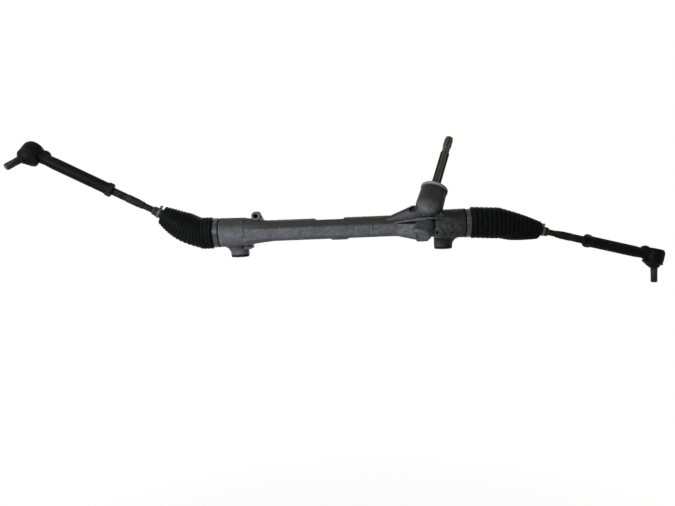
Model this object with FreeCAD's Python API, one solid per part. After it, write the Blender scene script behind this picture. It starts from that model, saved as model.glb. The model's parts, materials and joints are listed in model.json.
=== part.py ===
import FreeCAD, Part
import math
import os

# Manual steering rack with its inner and outer ball joints, in millimetres.
# X runs along the rack towards the pinion end, Z is up along the mounting bolts, Y points to the rear.
# The origin lies midway between the two mounting bolts, on the plane that the lugs are bolted down to.

Vector = FreeCAD.Vector

# Where the rack bar's axis runs
RACK_Y = -37.0
RACK_Z = 50.0

# General clearances
SEAT_CLEARANCE = 0.05
RUNNING_CLEARANCE = 0.05
SOFT_CLEARANCE = 0.3

# Mounting lugs
MOUNT_SPACING = 393.3
LUG_X = (-MOUNT_SPACING / 2, MOUNT_SPACING / 2)
LUG_RADIUS = 17.5
LUG_BOTTOM_Z = 2.6
LUG_TOP_Z = 57.0
LUG_WEB_BOTTOM_Z = 27.0
LUG_FLARE = 13.0
LUG_FLARE_TOP_Z = 22.0
LUG_FLARE_BOTTOM_Z = 8.0
LUG_EAR_RADIUS = 4.9
LUG_EAR_Z = 21.3
LUG_EAR_LENGTH = 22.0
MOUNT_BOLT_RADIUS = 6.25
MOUNT_SLEEVE_WALL = 2.25
MOUNT_RUBBER_WALL = 4.5
MOUNT_FLANGE_RADIUS = 16.9
MOUNT_SLEEVE_PROUD = 0.4

# Housing ends, which carry the bellows
LEFT_SHOULDER_X = LUG_X[0] - 28.95
RIGHT_SHOULDER_X = LUG_X[1] + 32.35
END_RADIUS = 27.0
END_TAPER = 0.7
LEFT_END_LENGTH = 48.0
RIGHT_END_LENGTH = 54.0
SPIGOT_RADIUS = 24.8
SPIGOT_LENGTH = 12.0
END_BORE_RADIUS = 20.0
MOUTH_RADIUS = 22.6
MOUTH_DEPTH = 9.0

# Housing tube
TUBE_RADIUS = 16.8
TUBE_BORE_RADIUS = 13.4
LEFT_CONE_LENGTH = 52.0
RIGHT_CONE_LENGTH = 40.0
FRONT_PANEL_DISTANCE = 19.2
FRONT_PANEL_TOP = 5.0
FRONT_PANEL_BOTTOM = -12.8
TUBE_TOP = 16.4
TUBE_BOTTOM = -19.3
TUBE_BEVEL = 1.3
FIN_HEIGHT = 2.6
FIN_THICKNESS = 9.0
LEFT_FIN_END_X = -45.0
RIGHT_FIN_START_X = 4.0
MIDDLE_PAD_REACH = 21.6
MIDDLE_PAD_X = -3.0
MIDDLE_PAD_LENGTH = 26.0

# Small bosses on the casting
TOP_BOSS_X = LUG_X[0] + 39.25
TOP_BOSS_HEIGHT = 28.4
TOP_BOSS_RADIUS = 8.3
TOP_BOSS_HOLE_RADIUS = 4.2
TOP_BOSS_HOLE_DEPTH = 14.0
TOP_BOSS_LENGTH = 18.0
FRONT_BOSS_X = LUG_X[1] - 20.65
FRONT_BOSS_DROP = 14.0
FRONT_BOSS_WIDTH = 17.0
FRONT_BOSS_REACH = 27.5
FRONT_HOLE_RADIUS = 2.5
FRONT_HOLE_DEPTH = 9.0
LEDGE_THICKNESS = 2.8
LEDGE_REACH = 34.0

# Pinion axis: it crosses the rack at this X, leans towards the right end and tilts to the rear
PINION_X = LUG_X[1] - 41.15
PINION_LEAN = 20.0
PINION_TILT = 28.0

# Gear pair: rack teeth run straight across, so the pinion's helix equals its lean
MODULE = 2.0
PINION_TEETH = 7
PRESSURE_ANGLE = 25.0
PROFILE_SHIFT = 0.4
PINION_ADDENDUM = 0.8
RACK_ADDENDUM = 1.0
TOOTH_BOTTOM_CLEARANCE = 0.25
BACKLASH = 0.16
RACK_DATUM = 7.2
RACK_RADIUS = 12.0
RACK_TEETH = 27
RACK_TEETH_CENTRE = 17.0

# Pinion shaft, measured along its axis from the crossing point
PINION_FACE = 30.0
LOWER_JOURNAL_RADIUS = 6.0
LOWER_JOURNAL_END = -28.0
BEARING_BORE_RADIUS = 8.5
BEARING_OUTER_RADIUS = 17.5
BEARING_WIDTH = 10.0
BEARING_START = 20.0
BEARING_BALLS = 7
BEARING_BALL_RADIUS = 2.4
SHAFT_RADIUS = 9.0
SHAFT_FLUTES = 8
FLUTE_DEPTH = 2.0
FLUTE_WIDTH = 3.6
FLUTE_START = 81.0
WAIST_START = 153.0
WAIST_RADIUS = 7.4
TIP_START = 167.0
TIP_RADIUS = 8.2
TIP_GROOVES = 24
TIP_GROOVE_DEPTH = 0.55
PILOT_START = 184.5
PILOT_RADIUS = 7.4
SHAFT_END = 189.5

# Pinion housing, measured the same way
TOWER_TOP = 71.6
TOWER_RADIUS = 24.4
TOWER_BASE_RADIUS = 25.8
TOWER_SHOULDER = 34.0
TOWER_LIP_RADIUS = 25.8
TOWER_LIP_HEIGHT = 5.5
NECK_RADIUS = 13.5
NECK_HEIGHT = 8.0
LOWER_HOUSING_RADIUS = 19.3
LOWER_HOUSING_TOP = 0.0
LOWER_HOUSING_END = -33.0
UPPER_BORE_RADIUS = 18.0
PINION_CHAMBER_RADIUS = 11.2
NEEDLE_OUTER_RADIUS = 9.5
NEEDLE_LENGTH = 10.0
END_CAP_RADIUS = 12.5
END_CAP_THICKNESS = 3.2
SNAP_RING_THICKNESS = 1.6
SEAL_START = 44.0
SEAL_THICKNESS = 7.0
DUST_COVER_HEIGHT = 7.5
GUSSET_START_X = PINION_X - 60.5
GUSSET_END_X = PINION_X - 21.0
GUSSET_LOW = 19.8
GUSSET_HIGH = 36.2
GUSSET_WIDTH = 26.0
GUSSET_POCKET_RADIUS = 5.2
GUSSET_POCKET_RIM = 1.5

# Rack guide, measured from the rack axis away from the pinion
GUIDE_RADIUS = 15.0
GUIDE_START = 6.5
GUIDE_END = 24.0
GUIDE_PAD_THICKNESS = 1.0
GUIDE_PAD_ANGLE = 52.0
GUIDE_HOUSING_RADIUS = 19.4
GUIDE_HOUSING_END = 34.0
GUIDE_SPRING_HEIGHT = 3.6
GUIDE_SPRING_THICKNESS = 1.4
GUIDE_PLUG_END = 39.0
GUIDE_NUT_FLATS = 36.0
GUIDE_KEY_FLATS = 17.0

# Rack bush at the far end from the pinion
BUSH_START_X = LUG_X[0] + 19.65
BUSH_LENGTH = 30.0
BUSH_WALL = 2.9

# Rack position and travel: both tie rods' ball centres at rest, and the travel each way from rest
LEFT_BALL_X = LEFT_SHOULDER_X - 34.0
RIGHT_BALL_X = RIGHT_SHOULDER_X + 67.5
TRAVEL_LEFT = 78.0
TRAVEL_RIGHT = 44.0
STOP_CLEARANCE = 0.6

# Inner ball joints
INNER_BALL_RADIUS = 14.0
SOCKET_RADIUS = 18.4
SOCKET_BACK = 24.0
SOCKET_LIP = 8.4
CUP_WALL = 2.3
CUP_ANGLE = 64.0
MOUTH_ANGLE = 59.0
SOCKET_STUD_RADIUS = 7.0
SOCKET_STUD_LENGTH = 18.0
SOCKET_FLATS = 32.0
SOCKET_FLATS_LENGTH = 9.0
LOCK_WASHER_THICKNESS = 1.5
LOCK_WASHER_RADIUS = 16.0

# Tie rods, measured along each rod from its inner ball's centre
TIE_ROD_LENGTH = 325.0
ROD_RADIUS = 6.9
ROD_NECK_RADIUS = 6.0
ROD_NECK_END = 46.0
ROD_SEAT_RADIUS = 6.3
ROD_WAIST_RADIUS = 5.8
ROD_GRIP_RADIUS = 7.5
ROD_SEAT_START = 84.0
ROD_SEAT_LENGTH = 13.0
ROD_WAIST_END = 118.0
ROD_GRIP_START = 124.0
ROD_GRIP_END = 148.0
ROD_THREAD_END = 258.0
LOCK_NUT_START = 176.0
LOCK_NUT_LENGTH = 13.6
LOCK_NUT_FLATS = 22.0
SLEEVE_START = 190.0
SLEEVE_RADIUS = 10.7
SLEEVE_BORE_END = 264.0

# Outer ball joints, measured along each head's axis from its ball's centre
HEAD_RADIUS = 18.8
HEAD_TOP = -13.8
HEAD_FACE = 11.2
HEAD_DOME_RADIUS = 14.6
HEAD_DOME_HEIGHT = 9.0
OUTER_BALL_RADIUS = 10.5
SHELL_RADIUS = 13.0
OUTER_MOUTH_ANGLE = 57.0
CAP_PLATE_RADIUS = 14.2
CAP_PLATE_THICKNESS = 2.0
STUD_NECK_RADIUS = 5.5
STUD_TAPER_START = 17.0
STUD_TAPER_RADIUS = 7.0
STUD_THREAD_START = 36.0
STUD_THREAD_RADIUS = 6.0
STUD_LENGTH = 52.0
STUD_BOOT_RADIUS = 19.0
STUD_BOOT_NECK_RADIUS = 9.0
STUD_BOOT_WALL = 1.6
STUD_BOOT_END = 23.0

# Bellows
BELLOWS_CREST_RADIUS = 29.4
BELLOWS_DEPTH = 4.0
BELLOWS_END_RADIUS = 16.5
BELLOWS_TAPER_START = 4.0
BELLOWS_TAPER_POWER = 1.6
BELLOWS_SAG = 3.0
BELLOWS_WALL = 1.5
BELLOWS_COLLAR_RADIUS = 26.6
BELLOWS_CONVOLUTIONS = 17
BELLOWS_NECK_RADIUS = 8.6
BELLOWS_TIP_RADIUS = 7.7
BELLOWS_NECK_START = 80.0
BELLOWS_NECK_END = 97.0
CLAMP_SETBACK = 1.8
CLAMP_WIDTH = 8.2
CLAMP_THICKNESS = 0.9
CLIP_START = 84.6
CLIP_WIDTH = 4.2
CLIP_THICKNESS = 1.0
CLIP_EAR_REACH = 5.5

# How each tie rod stands in the photograph's pose: lift above the rack's axis, and swing to the front
LEFT_LIFT = 28.7
LEFT_SWING = 10.0
RIGHT_LIFT = -14.4
RIGHT_SWING = -7.5
LEFT_HEAD_ROLL = 35.0
RIGHT_HEAD_ROLL = 0.0
LEFT_STUD_TILT = 21.0
RIGHT_STUD_TILT = 15.0


def sine(degrees):
    return math.sin(math.radians(degrees))


def cosine(degrees):
    return math.cos(math.radians(degrees))


def tangent(degrees):
    return math.tan(math.radians(degrees))


def face_of(start, *steps):
    """Flat face in the XZ plane. A step is a corner, or a pair of a point on an arc and the arc's end."""
    edges = []
    here = Vector(start[0], 0, start[1])
    first = here
    for step in steps:
        if isinstance(step[0], tuple):
            via = Vector(step[0][0], 0, step[0][1])
            there = Vector(step[1][0], 0, step[1][1])
            edges.append(Part.Arc(here, via, there).toShape())
        else:
            there = Vector(step[0], 0, step[1])
            edges.append(Part.makeLine(here, there))
        here = there
    edges.append(Part.makeLine(here, first))
    return Part.Face(Part.Wire(edges))


def turned(start, *steps):
    """Solid of revolution about Z from an outline of (radius, height) points."""
    return face_of(start, *steps).revolve(Vector(0, 0, 0), Vector(0, 0, 1), 360)


def rod(radius, low, high):
    """Cylinder about Z between two heights."""
    return Part.makeCylinder(radius, high - low, Vector(0, 0, low))


def ring(inner, outer, low, high):
    """Ring about Z between two heights."""
    return turned((inner, low), (outer, low), (outer, high), (inner, high))


def hexagon(across_flats, low, high):
    """Hexagonal prism about Z whose corners are turned off at both ends."""
    corner = across_flats / math.sqrt(3)
    points = [Vector(corner * cosine(60 * k), corner * sine(60 * k), low) for k in range(7)]
    prism = Part.Face(Part.makePolygon(points)).extrude(Vector(0, 0, high - low))
    edge = corner - across_flats / 2
    bevel = edge * tangent(30)
    half = across_flats / 2
    envelope = turned(
        (0, low), (half, low), (corner, low + bevel), (corner, high - bevel), (half, high), (0, high)
    )
    return prism.common(envelope)


def placed(shape, origin, axis, side):
    """Copy of a shape, with its Z along axis and its X along side."""
    turn = FreeCAD.Rotation(side, axis.cross(side), axis, "ZXY")
    copy = shape.copy()
    copy.Placement = FreeCAD.Placement(origin, turn).multiply(shape.Placement)
    return copy


def along_rack(shape, at_x=0.0):
    """Shape about Z turned to lie along the rack axis, with its Z along +X and its X upwards."""
    return placed(shape, Vector(at_x, RACK_Y, RACK_Z), Vector(1, 0, 0), Vector(0, 0, 1))


RACK_POINT = Vector(PINION_X, RACK_Y, RACK_Z)
PINION_AXIS = Vector(
    sine(PINION_LEAN), cosine(PINION_LEAN) * sine(PINION_TILT), cosine(PINION_LEAN) * cosine(PINION_TILT)
)
TO_PINION = Vector(0, -cosine(PINION_TILT), sine(PINION_TILT))
PITCH_RADIUS = MODULE * PINION_TEETH / (2 * cosine(PINION_LEAN))
CENTRE_DISTANCE = PITCH_RADIUS + PROFILE_SHIFT * MODULE + RACK_DATUM
PINION_ORIGIN = RACK_POINT + TO_PINION * CENTRE_DISTANCE


def on_pinion(shape):
    """Shape about Z moved to the pinion's axis, with its X towards the rack."""
    return placed(shape, PINION_ORIGIN, PINION_AXIS, TO_PINION * -1)


def on_guide(shape):
    """Shape about Z moved to the guide's axis, away from the pinion, with its X along the rack."""
    return placed(shape, RACK_POINT, TO_PINION * -1, Vector(1, 0, 0))


class Side:
    """One end of the rack: its ball centres and the directions of its tie rod, head and stud."""

    def __init__(self, name, sign, ball_x, shoulder_x, lift, swing, roll, tilt):
        self.name = name
        self.sign = sign
        self.out = Vector(sign, 0, 0)
        self.shoulder_x = shoulder_x
        self.ball = Vector(ball_x, RACK_Y, RACK_Z)
        self.rod = Vector(
            sign * cosine(lift) * cosine(swing), -cosine(lift) * sine(swing), sine(lift)
        )
        flat = Vector(sign * cosine(swing), -sine(swing), 0)
        down = flat * sine(lift) - Vector(0, 0, cosine(lift))
        across = self.rod.cross(down)
        if across.y > 0:
            across = across * -1
        self.flat = flat
        self.down = down
        self.head = down * cosine(roll) + across * sine(roll)
        self.stud = self.head * cosine(tilt) + self.rod * sine(tilt)
        self.hinge = self.head.cross(self.rod)
        self.end_ball = self.ball + self.rod * TIE_ROD_LENGTH
        self.bend = self.out.cross(self.rod).normalize()

    def on_rack(self, shape):
        """Shape about Z moved to the inner ball, with its Z outwards along the rack."""
        return placed(shape, self.ball, self.out, Vector(0, 0, 1))

    def on_rod(self, shape):
        """Shape about Z moved to the inner ball, with its Z along the tie rod and its X down."""
        return placed(shape, self.ball, self.rod, self.down)

    def on_head(self, shape):
        """Shape about Z moved to the outer ball, with its Z towards the stud's side and X along the rod."""
        return placed(shape, self.end_ball, self.head, self.rod)

    def on_stud(self, shape):
        """Shape about Z moved to the outer ball, with its Z along the stud."""
        return placed(shape, self.end_ball, self.stud, self.hinge)


SIDES = (
    Side("left", -1, LEFT_BALL_X, LEFT_SHOULDER_X, LEFT_LIFT, LEFT_SWING, LEFT_HEAD_ROLL, LEFT_STUD_TILT),
    Side("right", 1, RIGHT_BALL_X, RIGHT_SHOULDER_X, RIGHT_LIFT, RIGHT_SWING, RIGHT_HEAD_ROLL, RIGHT_STUD_TILT),
)
LEFT_RACK_END = LEFT_BALL_X + SOCKET_BACK + LOCK_WASHER_THICKNESS
RIGHT_RACK_END = RIGHT_BALL_X - SOCKET_BACK - LOCK_WASHER_THICKNESS
LEFT_STOP_X = LEFT_RACK_END + TRAVEL_RIGHT + STOP_CLEARANCE
RIGHT_STOP_X = RIGHT_RACK_END - TRAVEL_LEFT - STOP_CLEARANCE
MOUNT_SLEEVE_RADIUS = MOUNT_BOLT_RADIUS + MOUNT_SLEEVE_WALL
MOUNT_RUBBER_RADIUS = MOUNT_SLEEVE_RADIUS + MOUNT_RUBBER_WALL


def skin(rings, across):
    """Solid through circles, given as (centre, direction, radius), with straight walls between them."""
    wires = []
    for centre, way, radius in rings:
        circle = Part.Wire(Part.makeCircle(radius))
        wires.append(placed(circle, centre, way, across))
    return Part.makeLoft(wires, True, True)


def housing_end(side, length):
    """Thick end of the housing with the spigot that the bellows is clamped to."""
    shoulder = side.shoulder_x * side.sign
    inner = shoulder - length
    mouth = shoulder + SPIGOT_LENGTH
    chamfer = 1.2
    outline = turned(
        (0, inner),
        (END_RADIUS - END_TAPER - chamfer, inner),
        (END_RADIUS - END_TAPER, inner + chamfer),
        (END_RADIUS, shoulder - chamfer),
        (END_RADIUS - chamfer, shoulder),
        (SPIGOT_RADIUS, shoulder),
        (SPIGOT_RADIUS, mouth - 1),
        (SPIGOT_RADIUS - 1, mouth),
        (0, mouth),
    )
    return placed(outline, Vector(0, RACK_Y, RACK_Z), side.out, Vector(0, 0, 1))


def end_bore(side, stop_x):
    """Bore that the inner joint runs into, widened at its mouth."""
    stop = stop_x * side.sign
    mouth = side.shoulder_x * side.sign + SPIGOT_LENGTH
    outline = turned(
        (0, stop),
        (END_BORE_RADIUS, stop),
        (END_BORE_RADIUS, mouth - MOUTH_DEPTH),
        (MOUTH_RADIUS, mouth - 2),
        (MOUTH_RADIUS, mouth + 1),
        (0, mouth + 1),
    )
    return placed(outline, Vector(0, RACK_Y, RACK_Z), side.out, Vector(0, 0, 1))


def tube_section(x, deep, high):
    """Bevelled outline of the tube at one place, its depth and height scaled about the rack's axis."""
    back = 5.0
    foot = -9.0
    brow = -6.0
    corners = [
        Vector(x, RACK_Y + deep * y, RACK_Z + high * z)
        for y, z in (
            (back, TUBE_BOTTOM),
            (foot, TUBE_BOTTOM),
            (-FRONT_PANEL_DISTANCE, FRONT_PANEL_BOTTOM),
            (-FRONT_PANEL_DISTANCE, FRONT_PANEL_TOP),
            (brow, TUBE_TOP),
            (back, TUBE_TOP),
        )
    ]
    points = []
    for k, corner in enumerate(corners):
        for neighbour in (corners[k - 1], corners[(k + 1) % len(corners)]):
            points.append(corner + (neighbour - corner).normalize() * TUBE_BEVEL)
    return Part.makePolygon(points + points[:1])


def faceted_tube():
    """Angular front of the tube, with a flat panel, which swells where it meets the thick left end."""
    start = LEFT_SHOULDER_X + LEFT_END_LENGTH
    swell = ((-1, 1.34, 1.33), (LEFT_CONE_LENGTH / 2, 1.18, 1.13), (LEFT_CONE_LENGTH, 1.03, 1))
    sections = [tube_section(start + along, deep, high) for along, deep, high in swell]
    sections.append(tube_section(PINION_X, 1, 1))
    return Part.makeLoft(sections, True, True)


def middle_pad():
    """Low pad under the middle of the tube."""
    half = MIDDLE_PAD_LENGTH / 2
    ramp = 6.0
    outline = (
        (MIDDLE_PAD_X - half - ramp, TUBE_BOTTOM + 1),
        (MIDDLE_PAD_X - half, -MIDDLE_PAD_REACH),
        (MIDDLE_PAD_X + half, -MIDDLE_PAD_REACH),
        (MIDDLE_PAD_X + half + ramp, TUBE_BOTTOM + 1),
    )
    wire = Part.makePolygon([Vector(x, RACK_Y - 9, RACK_Z + z) for x, z in outline + outline[:1]])
    return Part.Face(wire).extrude(Vector(0, 14, 0))


def tube_fin(start, end):
    """Low fin along the top of the tube, left by the mould's parting line."""
    half = FIN_THICKNESS / 2
    top = TUBE_RADIUS + FIN_HEIGHT
    base = TUBE_RADIUS * 0.7
    points = ((base, -half - 1), (top, -half), (top, half), (base, half + 1))
    outline = Part.makePolygon([Vector(u, v, 0) for u, v in points + points[:1]])
    fin = Part.Face(outline).extrude(Vector(0, 0, end - start))
    run = FIN_HEIGHT * 2
    for cut_at, lean in ((0, 1), (end - start, -1)):
        ramp = Part.makePolygon(
            [
                Vector(top + 1, -half - 2, cut_at - lean),
                Vector(TUBE_RADIUS - 1, -half - 2, cut_at - lean),
                Vector(top + 1, -half - 2, cut_at + lean * run),
                Vector(top + 1, -half - 2, cut_at - lean),
            ]
        )
        fin = fin.cut(Part.Face(ramp).extrude(Vector(0, FIN_THICKNESS + 4, 0)))
    return along_rack(fin, start)


def lug(x, outwards):
    """Upright mounting lug, flared on its outer side where it joins the housing."""
    soft = 1.5
    post = turned(
        (0, LUG_BOTTOM_Z),
        (LUG_RADIUS - soft / 2, LUG_BOTTOM_Z),
        (LUG_RADIUS, LUG_BOTTOM_Z + soft),
        (LUG_RADIUS, LUG_TOP_Z - soft),
        (LUG_RADIUS - soft / 2, LUG_TOP_Z),
        (0, LUG_TOP_Z),
    )
    rise = LUG_FLARE_TOP_Z - LUG_FLARE_BOTTOM_Z
    up = Vector(0, 0, 1)
    rings = []
    for share, lift in ((0, 0), (0.12, 0.35), (0.4, 0.7), (1.0, 1.0), (1.0, 1.25), (0, 2.2)):
        centre = Vector(outwards * share * LUG_FLARE / 2, 0, LUG_FLARE_BOTTOM_Z + lift * rise)
        rings.append((centre, up, LUG_RADIUS - 0.1 + share * LUG_FLARE / 2))
    flare = skin(rings, Vector(1, 0, 0))
    web = Part.makeBox(
        2 * LUG_RADIUS - 4,
        -RACK_Y,
        LUG_TOP_Z - LUG_WEB_BOTTOM_Z - 4,
        Vector(-LUG_RADIUS + 2, RACK_Y, LUG_WEB_BOTTOM_Z),
    )
    lump = post.fuse([flare, web])
    lump.translate(Vector(x, 0, 0))
    return lump


def lug_ear():
    """Rounded ear behind the left lug, where it meets the tube."""
    centre_x = LUG_X[0] + LUG_RADIUS + LUG_EAR_RADIUS + 2
    root_x = LUG_X[0] + LUG_RADIUS - LUG_EAR_RADIUS
    start = Vector(centre_x, RACK_Y + 6, LUG_EAR_Z)
    ear = Part.makeCylinder(LUG_EAR_RADIUS, LUG_EAR_LENGTH, start, Vector(0, 1, 0))
    corner = Vector(root_x, start.y, LUG_EAR_Z - LUG_EAR_RADIUS)
    block = Part.makeBox(centre_x - root_x, LUG_EAR_LENGTH, 3 * LUG_EAR_RADIUS, corner)
    return ear.fuse(block)


def top_boss():
    """Small ring on top of the left end, with the web that stiffens it."""
    half = TOP_BOSS_LENGTH / 2
    centre_z = RACK_Z + TOP_BOSS_HEIGHT
    start = Vector(TOP_BOSS_X, RACK_Y - half, centre_z)
    boss = Part.makeCylinder(TOP_BOSS_RADIUS, TOP_BOSS_LENGTH, start, Vector(0, 1, 0))
    low = RACK_Z + TUBE_RADIUS - 3
    outline = (
        (TOP_BOSS_X - TOP_BOSS_RADIUS, centre_z),
        (TOP_BOSS_X - TOP_BOSS_RADIUS, low),
        (TOP_BOSS_X + 2 * TOP_BOSS_RADIUS, low),
        (TOP_BOSS_X + 0.8 * TOP_BOSS_RADIUS, centre_z + 0.9 * TOP_BOSS_RADIUS),
        (TOP_BOSS_X, centre_z + TOP_BOSS_RADIUS),
    )
    wire = Part.makePolygon([Vector(x, RACK_Y - half + 2, z) for x, z in outline + outline[:1]])
    web = Part.Face(wire).extrude(Vector(0, TOP_BOSS_LENGTH - 4, 0))
    return boss.fuse(web)


def front_boss():
    """Pad like a rounded diamond on the front of the right end, below the ledge."""
    half = FRONT_BOSS_WIDTH / 2
    corner = Vector(-half, -FRONT_BOSS_REACH, -half)
    pad = Part.makeBox(FRONT_BOSS_WIDTH, FRONT_BOSS_REACH, FRONT_BOSS_WIDTH, corner)
    edges = [edge for edge in pad.Edges if abs(edge.Vertexes[0].Y - edge.Vertexes[1].Y) > 1]
    pad = pad.makeFillet(half / 2, edges)
    pad.rotate(Vector(0, 0, 0), Vector(0, 1, 0), 45)
    pad.translate(Vector(FRONT_BOSS_X, RACK_Y, RACK_Z - FRONT_BOSS_DROP))
    return pad


def tower():
    """Pinion housing: the upper bearing bell, its round shoulder and the lower bearing housing."""
    lip = TOWER_TOP - TOWER_LIP_HEIGHT
    bulge = (TOWER_BASE_RADIUS * 0.87, TOWER_SHOULDER - (TOWER_SHOULDER - NECK_HEIGHT) * 0.56)
    bell = turned(
        (0, LOWER_HOUSING_TOP - 6),
        (NECK_RADIUS, LOWER_HOUSING_TOP - 6),
        (NECK_RADIUS, NECK_HEIGHT),
        (bulge, (TOWER_BASE_RADIUS, TOWER_SHOULDER)),
        (TOWER_RADIUS, lip - 0.8),
        (TOWER_LIP_RADIUS, lip),
        (TOWER_LIP_RADIUS, TOWER_TOP - 1),
        (TOWER_LIP_RADIUS - 1, TOWER_TOP),
        (0, TOWER_TOP),
    )
    soft = 5.0
    lower = turned(
        (0, LOWER_HOUSING_END),
        (LOWER_HOUSING_RADIUS - soft, LOWER_HOUSING_END),
        (
            (LOWER_HOUSING_RADIUS - soft * 0.3, LOWER_HOUSING_END + soft * 0.3),
            (LOWER_HOUSING_RADIUS, LOWER_HOUSING_END + soft),
        ),
        (LOWER_HOUSING_RADIUS, LOWER_HOUSING_TOP - 4),
        (NECK_RADIUS, LOWER_HOUSING_TOP + 3),
        (0, LOWER_HOUSING_TOP + 3),
    )
    return on_pinion(bell.fuse(lower))


def pinion_bores():
    """Stepped bore that the pinion and its bearings stand in, open at both ends."""
    needle_top = LOWER_JOURNAL_END + NEEDLE_LENGTH + 1.5
    return on_pinion(
        turned(
            (0, LOWER_HOUSING_END - 1),
            (END_CAP_RADIUS + SEAT_CLEARANCE, LOWER_HOUSING_END - 1),
            (END_CAP_RADIUS + SEAT_CLEARANCE, LOWER_HOUSING_END + END_CAP_THICKNESS),
            (NEEDLE_OUTER_RADIUS + SEAT_CLEARANCE, LOWER_HOUSING_END + END_CAP_THICKNESS),
            (NEEDLE_OUTER_RADIUS + SEAT_CLEARANCE, needle_top),
            (PINION_CHAMBER_RADIUS, needle_top + 1.5),
            (PINION_CHAMBER_RADIUS, BEARING_START - SEAT_CLEARANCE),
            (BEARING_OUTER_RADIUS + SEAT_CLEARANCE, BEARING_START - SEAT_CLEARANCE),
            (BEARING_OUTER_RADIUS + SEAT_CLEARANCE, SEAL_START - 2),
            (UPPER_BORE_RADIUS, SEAL_START - 1.5),
            (UPPER_BORE_RADIUS, TOWER_TOP - 3),
            (UPPER_BORE_RADIUS + 2, TOWER_TOP + 1),
            (0, TOWER_TOP + 1),
        )
    )


def gusset():
    """Wedge that climbs from the tube to the pinion housing, with a rimmed pocket near its top."""
    outline = (
        (GUSSET_START_X - 12, 0),
        (GUSSET_START_X - 12, TUBE_RADIUS - 1),
        (GUSSET_START_X, GUSSET_LOW),
        (GUSSET_END_X, GUSSET_HIGH),
        (GUSSET_END_X + 16, GUSSET_HIGH),
        (GUSSET_END_X + 16, 0),
    )
    half = GUSSET_WIDTH / 2
    wire = Part.makePolygon([Vector(x, RACK_Y - half, RACK_Z + z) for x, z in outline + outline[:1]])
    wedge = Part.Face(wire).extrude(Vector(0, GUSSET_WIDTH, 0))
    ridges = [
        edge
        for edge in wedge.Edges
        if abs(edge.Vertexes[0].Y - edge.Vertexes[1].Y) < 0.01
        and min(edge.Vertexes[0].Z, edge.Vertexes[1].Z) > RACK_Z + GUSSET_LOW - 1
        and abs(edge.Vertexes[0].X - edge.Vertexes[1].X) > 10
    ]
    soft = 6.0
    wedge = wedge.makeFillet(soft, ridges)
    slope = math.degrees(math.atan2(GUSSET_HIGH - GUSSET_LOW, GUSSET_END_X - GUSSET_START_X))
    stretch = FreeCAD.Matrix()
    stretch.scale(1.3, 0.85, 1.0)
    middle = Vector(GUSSET_END_X - 2, RACK_Y - half + soft * 0.2, RACK_Z + GUSSET_HIGH - soft * 1.1)
    lumps = []
    for radius, low, high in (
        (GUSSET_POCKET_RADIUS + GUSSET_POCKET_RIM, -6, 0.9),
        (GUSSET_POCKET_RADIUS, -5, 6),
    ):
        lump = Part.makeCylinder(radius, high - low, Vector(0, 0, low)).transformGeometry(stretch)
        lump.rotate(Vector(0, 0, 0), Vector(1, 0, 0), 58)
        lump.rotate(Vector(0, 0, 0), Vector(0, 1, 0), -slope)
        lump.translate(middle)
        lumps.append(lump)
    rim, pocket = lumps
    return wedge.fuse(rim).cut(pocket)


def fairing():
    """Angular web between the front of the tube and the lower bearing housing."""
    front = -FRONT_PANEL_DISTANCE
    small = ((-9, TUBE_BOTTOM), (front, FRONT_PANEL_BOTTOM), (front, 3), (-11, 8))
    large = ((-14, -27), (-31, -19), (-32, 2), (-15, 12))
    sections = []
    for x, corners in ((PINION_X - 52, small), (PINION_X - 19, large)):
        points = [Vector(x, RACK_Y + y, RACK_Z + z) for y, z in corners]
        sections.append(Part.makePolygon(points + points[:1]))
    return Part.makeLoft(sections, True, True)


def ledge():
    """Thin ledge that runs on from the tube's panel, across the pinion housing's neck, to the right end."""
    left = PINION_X - 58
    right = RIGHT_SHOULDER_X - 27
    front = (
        (left, -FRONT_PANEL_DISTANCE),
        (PINION_X - 40, -FRONT_PANEL_DISTANCE - 2),
        (PINION_X - 12, -LEDGE_REACH),
        (PINION_X + 12, -LEDGE_REACH),
        (right, -END_RADIUS + 4),
        (right, -8),
        (left, -8),
    )
    plan = Part.Face(Part.makePolygon([Vector(x, RACK_Y + y, RACK_Z) for x, y in front + front[:1]]))
    top = ((left, 7.4), (PINION_X + 3, 14.0), (right, 10.6))
    under = tuple((x, z - LEDGE_THICKNESS) for x, z in reversed(top))
    side = top + under
    band = Part.Face(Part.makePolygon([Vector(x, RACK_Y, RACK_Z + z) for x, z in side + side[:1]]))
    band.translate(Vector(0, -2 * END_RADIUS, 0))
    return plan.extrude(Vector(0, 0, END_RADIUS)).common(band.extrude(Vector(0, 2 * END_RADIUS, 0)))


def shoulder_web():
    """Small triangular web between the pinion housing and the right end."""
    outline = ((PINION_X + 23, 8), (PINION_X + 28, 22), (PINION_X + 40, 10))
    wire = Part.makePolygon([Vector(x, RACK_Y - 22, RACK_Z + z) for x, z in outline + outline[:1]])
    return Part.Face(wire).extrude(Vector(0, 12, 0))


def guide_housing():
    """Round boss behind the rack that the rack guide slides in."""
    chamfer = 1.2
    return on_guide(
        turned(
            (0, 2),
            (GUIDE_HOUSING_RADIUS, 2),
            (GUIDE_HOUSING_RADIUS, GUIDE_HOUSING_END - chamfer),
            (GUIDE_HOUSING_RADIUS - chamfer, GUIDE_HOUSING_END),
            (0, GUIDE_HOUSING_END),
        )
    )


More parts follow.
